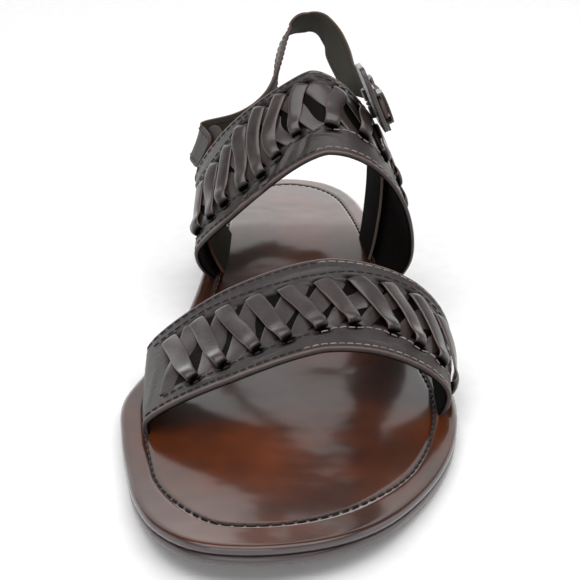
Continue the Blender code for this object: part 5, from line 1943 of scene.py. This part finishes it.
@dataclass
class Uppers:
    """The woven straps, the stays and the heel strap."""

    closure: Closure
    along_step: float = 0.00055
    bead: float = 0.0004
    top_thickness: float = 0.0010
    under_thickness: float = 0.0006
    sunk: float = 0.0010
    top_rise: float = 0.0007
    under_rise: float = -0.00056
    bulge: float = 0.0009
    roll: float = 0.00040
    pale_edge: float = 0.30
    under_reach_mm: float = 2.0
    edge_row: float = 0.0032
    before_holes: float = 0.0012
    behind_holes: float = 0.0030
    rear_clear: float = 0.0046
    rear_row: float = 0.0020
    ear_corner: float = 0.011
    lateral_corner: float = 0.006
    strap_corner: float = 0.005
    strap_row: float = 0.0020
    front: Strap = field(init=False)
    band: Strap = field(init=False)
    medial: Strap = field(init=False)
    lateral: Strap = field(init=False)
    tuck: float = field(init=False)
    strap_leather: bpy.types.Material = field(init=False)
    strip_leather: bpy.types.Material = field(init=False)
    stay_leather: bpy.types.Material = field(init=False)
    thread: bpy.types.Material = field(init=False)
    shaded_thread: bpy.types.Material = field(init=False)

    def __post_init__(self) -> None:
        """Lay the straps round the last and make the materials that pieces share."""
        last = Last()
        self.front = Strap(last, FRONT_STRAP_EDGES)
        self.band = Strap(last, INSTEP_BAND_EDGES, SIZES.stay + SIZES.layer_gap)
        self.medial = Strap(last, MEDIAL_STAY_EDGES)
        self.lateral = Strap(last, LATERAL_STAY_EDGES)
        self.tuck = SIZES.footbed - SIZES.joint_gap
        self.strap_leather = STRAP_LEATHER.material()
        self.strip_leather = STRIP_LEATHER.material()
        self.stay_leather = STAY_LEATHER.material()
        self.thread = SEAM_THREAD.material()
        self.shaded_thread = SHADED_THREAD.material()

    def _woven(self, name: str, strap: Strap, weave: Weave) -> list[Piece]:
        """Wall, strips and rows of stitches of one woven strap.

        Args:
            name: The node that the wall stands for.
            strap: The strap's surface.
            weave: Its strips.

        Returns:
            The dressed pieces.
        """
        count = int((strap.length + 2 * self.tuck) / self.along_step)
        along = np.linspace(-self.tuck, strap.length + self.tuck, count)
        face, slack = SIZES.strap, weave.slack * MM
        relief = Slits(name, weave).relief
        body = wall(f"{name}_wall", strap, along, strap.width, face, relief, 110, bead=self.bead)
        top = strips(f"{name}_strips_top", strap, weave.top, StripCut(
            weave.top_width * MM, self.top_thickness, face - self.sunk, face + self.top_rise, self.bulge,
            slack, self.pale_edge, self.roll, seed=5,
        ))
        reach = self.under_reach_mm
        hidden_ends = [(a, b - reach, c, d + reach) for a, b, c, d in weave.under]
        under = strips(f"{name}_strips_under", strap, hidden_ends, StripCut(
            weave.under_width * MM, self.under_thickness, face - self.sunk, face + self.under_rise,
            slack=0.3 * slack, seed=8,
        ))
        pieces = [dress(body, self.strap_leather, "woven_leather", name)]
        pieces += [dress(piece, self.strip_leather, "woven_leather") for piece in (top, under)]
        width, length = strap.width, strap.length

        def at_holes(place: Array) -> Array:
            """The row just before the front holes."""
            return weave.edge(place, False) - self.before_holes

        def after_holes(place: Array) -> Array:
            """The row behind the rear holes, kept off the rear edge."""
            return np.minimum(weave.edge(place, True) + self.behind_holes, width - self.rear_clear)

        rear = width - self.rear_row
        # Rows on the medial half take the near-black copy of the thread as painted shade, rows on the lateral
        # half the grey beige thread
        for label, ends, over, material in (
            ("edge_row", (0.004, 0.50 * length), self.edge_row, self.shaded_thread),
            ("edge_row_light", (0.50 * length, length - 0.004), self.edge_row, self.thread),
            ("hole_row", (0.012, 0.54 * length), at_holes, self.shaded_thread),
            ("hole_row_light", (0.54 * length, 0.93 * length), at_holes, self.thread),
            ("rear_row", (0.004, 0.52 * length), rear, self.shaded_thread),
            ("rear_row_light", (0.52 * length, 0.85 * length), rear, self.thread),
            ("rear_holes", (0.010, 0.90 * length), after_holes, self.shaded_thread),
        ):
            row = stitches(f"{name}_{label}", strap, ends, over, face, change=lambda x, y: relief(x, y)[0])
            pieces.append(dress(row, material, "woven_leather"))
        return pieces

    def _stays(self) -> list[Piece]:
        """The two plain pieces inside the band.

        Returns:
            The dressed pieces.
        """
        pieces = []
        for name, stay, start, stop, corners, finish in (
            ("medial_stay", self.medial, -self.tuck, SIZES.stay_reach * self.medial.length,
             (0.0, self.ear_corner), LINING_LEATHER),
            ("lateral_stay", self.lateral, SIZES.lateral_reach * self.lateral.length,
             self.lateral.length + self.tuck, (self.lateral_corner, 0.0), DARK_LINING),
        ):
            along = dense_ends(start, stop, corners)
            piece = wall(f"{name}_wall", stay, along, stay.width, SIZES.stay, across=50, corners=corners)
            pieces.append(dress(piece, finish.material(), "lining_leather", name))
        return pieces

    def _heel_strap(self) -> list[Piece]:
        """The heel strap with a rounded tail and rows of stitches on both faces.

        Its section is an ellipse squared off to a flat strap; its tail is half a circle.

        Returns:
            The dressed pieces.
        """
        ribbon = self.closure.heel_ribbon(self.medial)
        width, thick, end = ribbon.width, SIZES.heel_strap, self.closure.end_width / 2
        corner = self.strap_corner
        along = np.concatenate([
            corner * (1 - np.cos(np.linspace(0, math.pi / 2, 10)))[:-1],
            np.linspace(corner, ribbon.length - end, 420)[:-1],
            ribbon.length - end * (1 - np.sin(np.linspace(0, math.pi / 2, 14))),
        ])
        angle = np.linspace(0, 2 * math.pi, 40, endpoint=False)
        wide, deep = squared_off(np.cos(angle), 0.22), squared_off(np.sin(angle), 0.5)
        left = np.clip((along - (ribbon.length - end)) / end, 0, 1)
        half = width / 2 * np.sqrt(np.clip(1 - left ** 2, 0.0004, 1)) - corner_inset(along, corner)
        points = ribbon.place(along[:, None], width / 2 + half[:, None] * wide, thick / 2 * (1 + deep))
        inside = np.broadcast_to((deep < -0.5) * 1.0, points.shape[:2])[None]
        raw = np.broadcast_to((np.abs(wide) > 0.97) * 0.6, points.shape[:2])[None]
        piece = grid_object("heel_strap_ribbon", points[None], attributes={"inside": inside, "raw": raw})
        pieces = [dress(piece, self.stay_leather, "strap_leather", "heel_strap")]
        # Every row takes the near-black copy of the thread, as painted shade
        for label, over, face in (
            ("low_out", self.strap_row, Face.OUTER), ("high_out", width - self.strap_row, Face.OUTER),
            ("low_in", self.strap_row, Face.INNER), ("high_in", width - self.strap_row, Face.INNER),
        ):
            row = stitches(
                f"heel_strap_row_{label}", ribbon, (0.004, ribbon.length - 0.010), over,
                thick if face is Face.OUTER else 0.0, radius=0.00026, face=face,
            )
            pieces.append(dress(row, self.shaded_thread, "strap_leather"))
        return pieces

    def build(self) -> list[Piece]:
        """Build the two woven straps, the stays and the heel strap.

        Returns:
            The dressed pieces.
        """
        pieces = self._woven("front_strap", self.front, FRONT_WEAVE)
        pieces += self._woven("instep_band", self.band, BAND_WEAVE)
        return pieces + self._stays() + self._heel_strap()


@dataclass(frozen=True)
class Panel:
    """A rectangular light: its place, the point that it faces, its width and height, its power."""

    name: str
    place: tuple[float, float, float]
    aim: tuple[float, float, float]
    size: tuple[float, float]
    watts: float

    def build(self) -> None:
        """Hang the light."""
        light = bpy.data.lights.new(self.name, "AREA")
        light.shape = "RECTANGLE"
        light.size, light.size_y = self.size
        light.energy = self.watts
        lamp = bpy.data.objects.new(self.name, light)
        lamp.location = self.place
        lamp.rotation_euler = (Vector(self.aim) - Vector(self.place)).to_track_quat("-Z", "Y").to_euler()
        bpy.context.scene.collection.objects.link(lamp)


@dataclass(frozen=True)
class Studio:
    """Floor, lights and camera. The pale sky near the horizon hides the floor's far edge."""

    camera: tuple[float, float, float] = (0.00103, -0.4979, 0.1949)
    look: tuple[float, float, float] = (0.0, 0.91355, -0.40674)
    lens_mm: float = 67.35
    film_mm: float = 36.0
    near: float = 0.01
    floor_reach: float = 1.6
    sky_fade: tuple[float, float] = (0.16, 0.40)
    sky_glow: tuple[float, float] = (1.0, 0.12)
    panels: tuple[Panel, ...] = (
        Panel("top_panel", (0.0, -0.30, 1.50), (0.0, -0.15, 0.0), (2.2, 1.5), 26.0),
        Panel("back_wall", (0.0, 1.20, 0.57), (0.0, 0.0, 0.45), (2.2, 1.06), 7.0),
        Panel("front_panel", (-0.35, -1.90, 0.80), (0.0, 0.0, 0.05), (1.6, 0.9), 8.0),
        Panel("right_panel", (1.50, -0.20, 0.60), (0.0, 0.0, 0.05), (0.9, 0.7), 2.5),
        Panel("left_panel", (-1.50, -0.20, 0.60), (0.0, 0.0, 0.05), (0.9, 0.7), 1.0),
    )

    def build(self) -> None:
        """Build everything that isn't the object."""
        scene = bpy.context.scene
        scene.view_settings.view_transform = "Standard"
        scene.view_settings.look = "None"
        self._floor()
        self._sky(scene)
        for panel in self.panels:
            panel.build()
        camera = bpy.data.objects.new("camera", bpy.data.cameras.new("camera"))
        camera.data.lens = self.lens_mm
        camera.data.sensor_width = self.film_mm
        camera.data.clip_start = self.near
        camera.location = self.camera
        camera.rotation_euler = Vector(self.look).to_track_quat("-Z", "Y").to_euler()
        scene.collection.objects.link(camera)
        scene.camera = camera

    def _floor(self) -> None:
        """Lay the square floor."""
        mesh = bpy.data.meshes.new("floor")
        reach = self.floor_reach
        corners = [(-reach, -reach, 0), (reach, -reach, 0), (reach, reach, 0), (-reach, reach, 0)]
        mesh.from_pydata(corners, [], [(0, 1, 2, 3)])
        floor = bpy.data.objects.new("floor", mesh)
        mesh.materials.append(FLOOR_PAPER.material())
        bpy.context.scene.collection.objects.link(floor)

    def _sky(self, scene: bpy.types.Scene) -> None:
        """Light the room evenly, paler near the horizon, by the height of each direction.

        Args:
            scene: The scene that gets the sky.
        """
        world = bpy.data.worlds.new("studio")
        world.use_nodes = True
        tree = world.node_tree
        direction = add_node(tree, "ShaderNodeTexCoord").outputs["Generated"]
        height = add_node(tree, "ShaderNodeSeparateXYZ", {"Vector": direction}).outputs["Z"]
        glow = add_node(tree, "ShaderNodeMapRange", {
            "Value": height, "From Min": self.sky_fade[0], "From Max": self.sky_fade[1],
            "To Min": self.sky_glow[0], "To Max": self.sky_glow[1],
        }).outputs["Result"]
        back = tree.nodes["Background"]
        back.inputs["Color"].default_value = (1.0, 1.0, 1.0, 1.0)
        tree.links.new(glow, back.inputs["Strength"])
        scene.world = world


def main() -> None:
    """Set the studio, then dress the construction and report each piece."""
    logging.basicConfig(level=logging.INFO)
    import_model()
    Studio().build()
    closure = Closure()
    pieces = Sole().build() + Uppers(closure).build() + closure.build()
    for piece in pieces:
        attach(piece, "root")
        LOG.info("%s: %d faces", piece.name, len(piece.data.polygons))


if __name__ == "__main__":
    main()
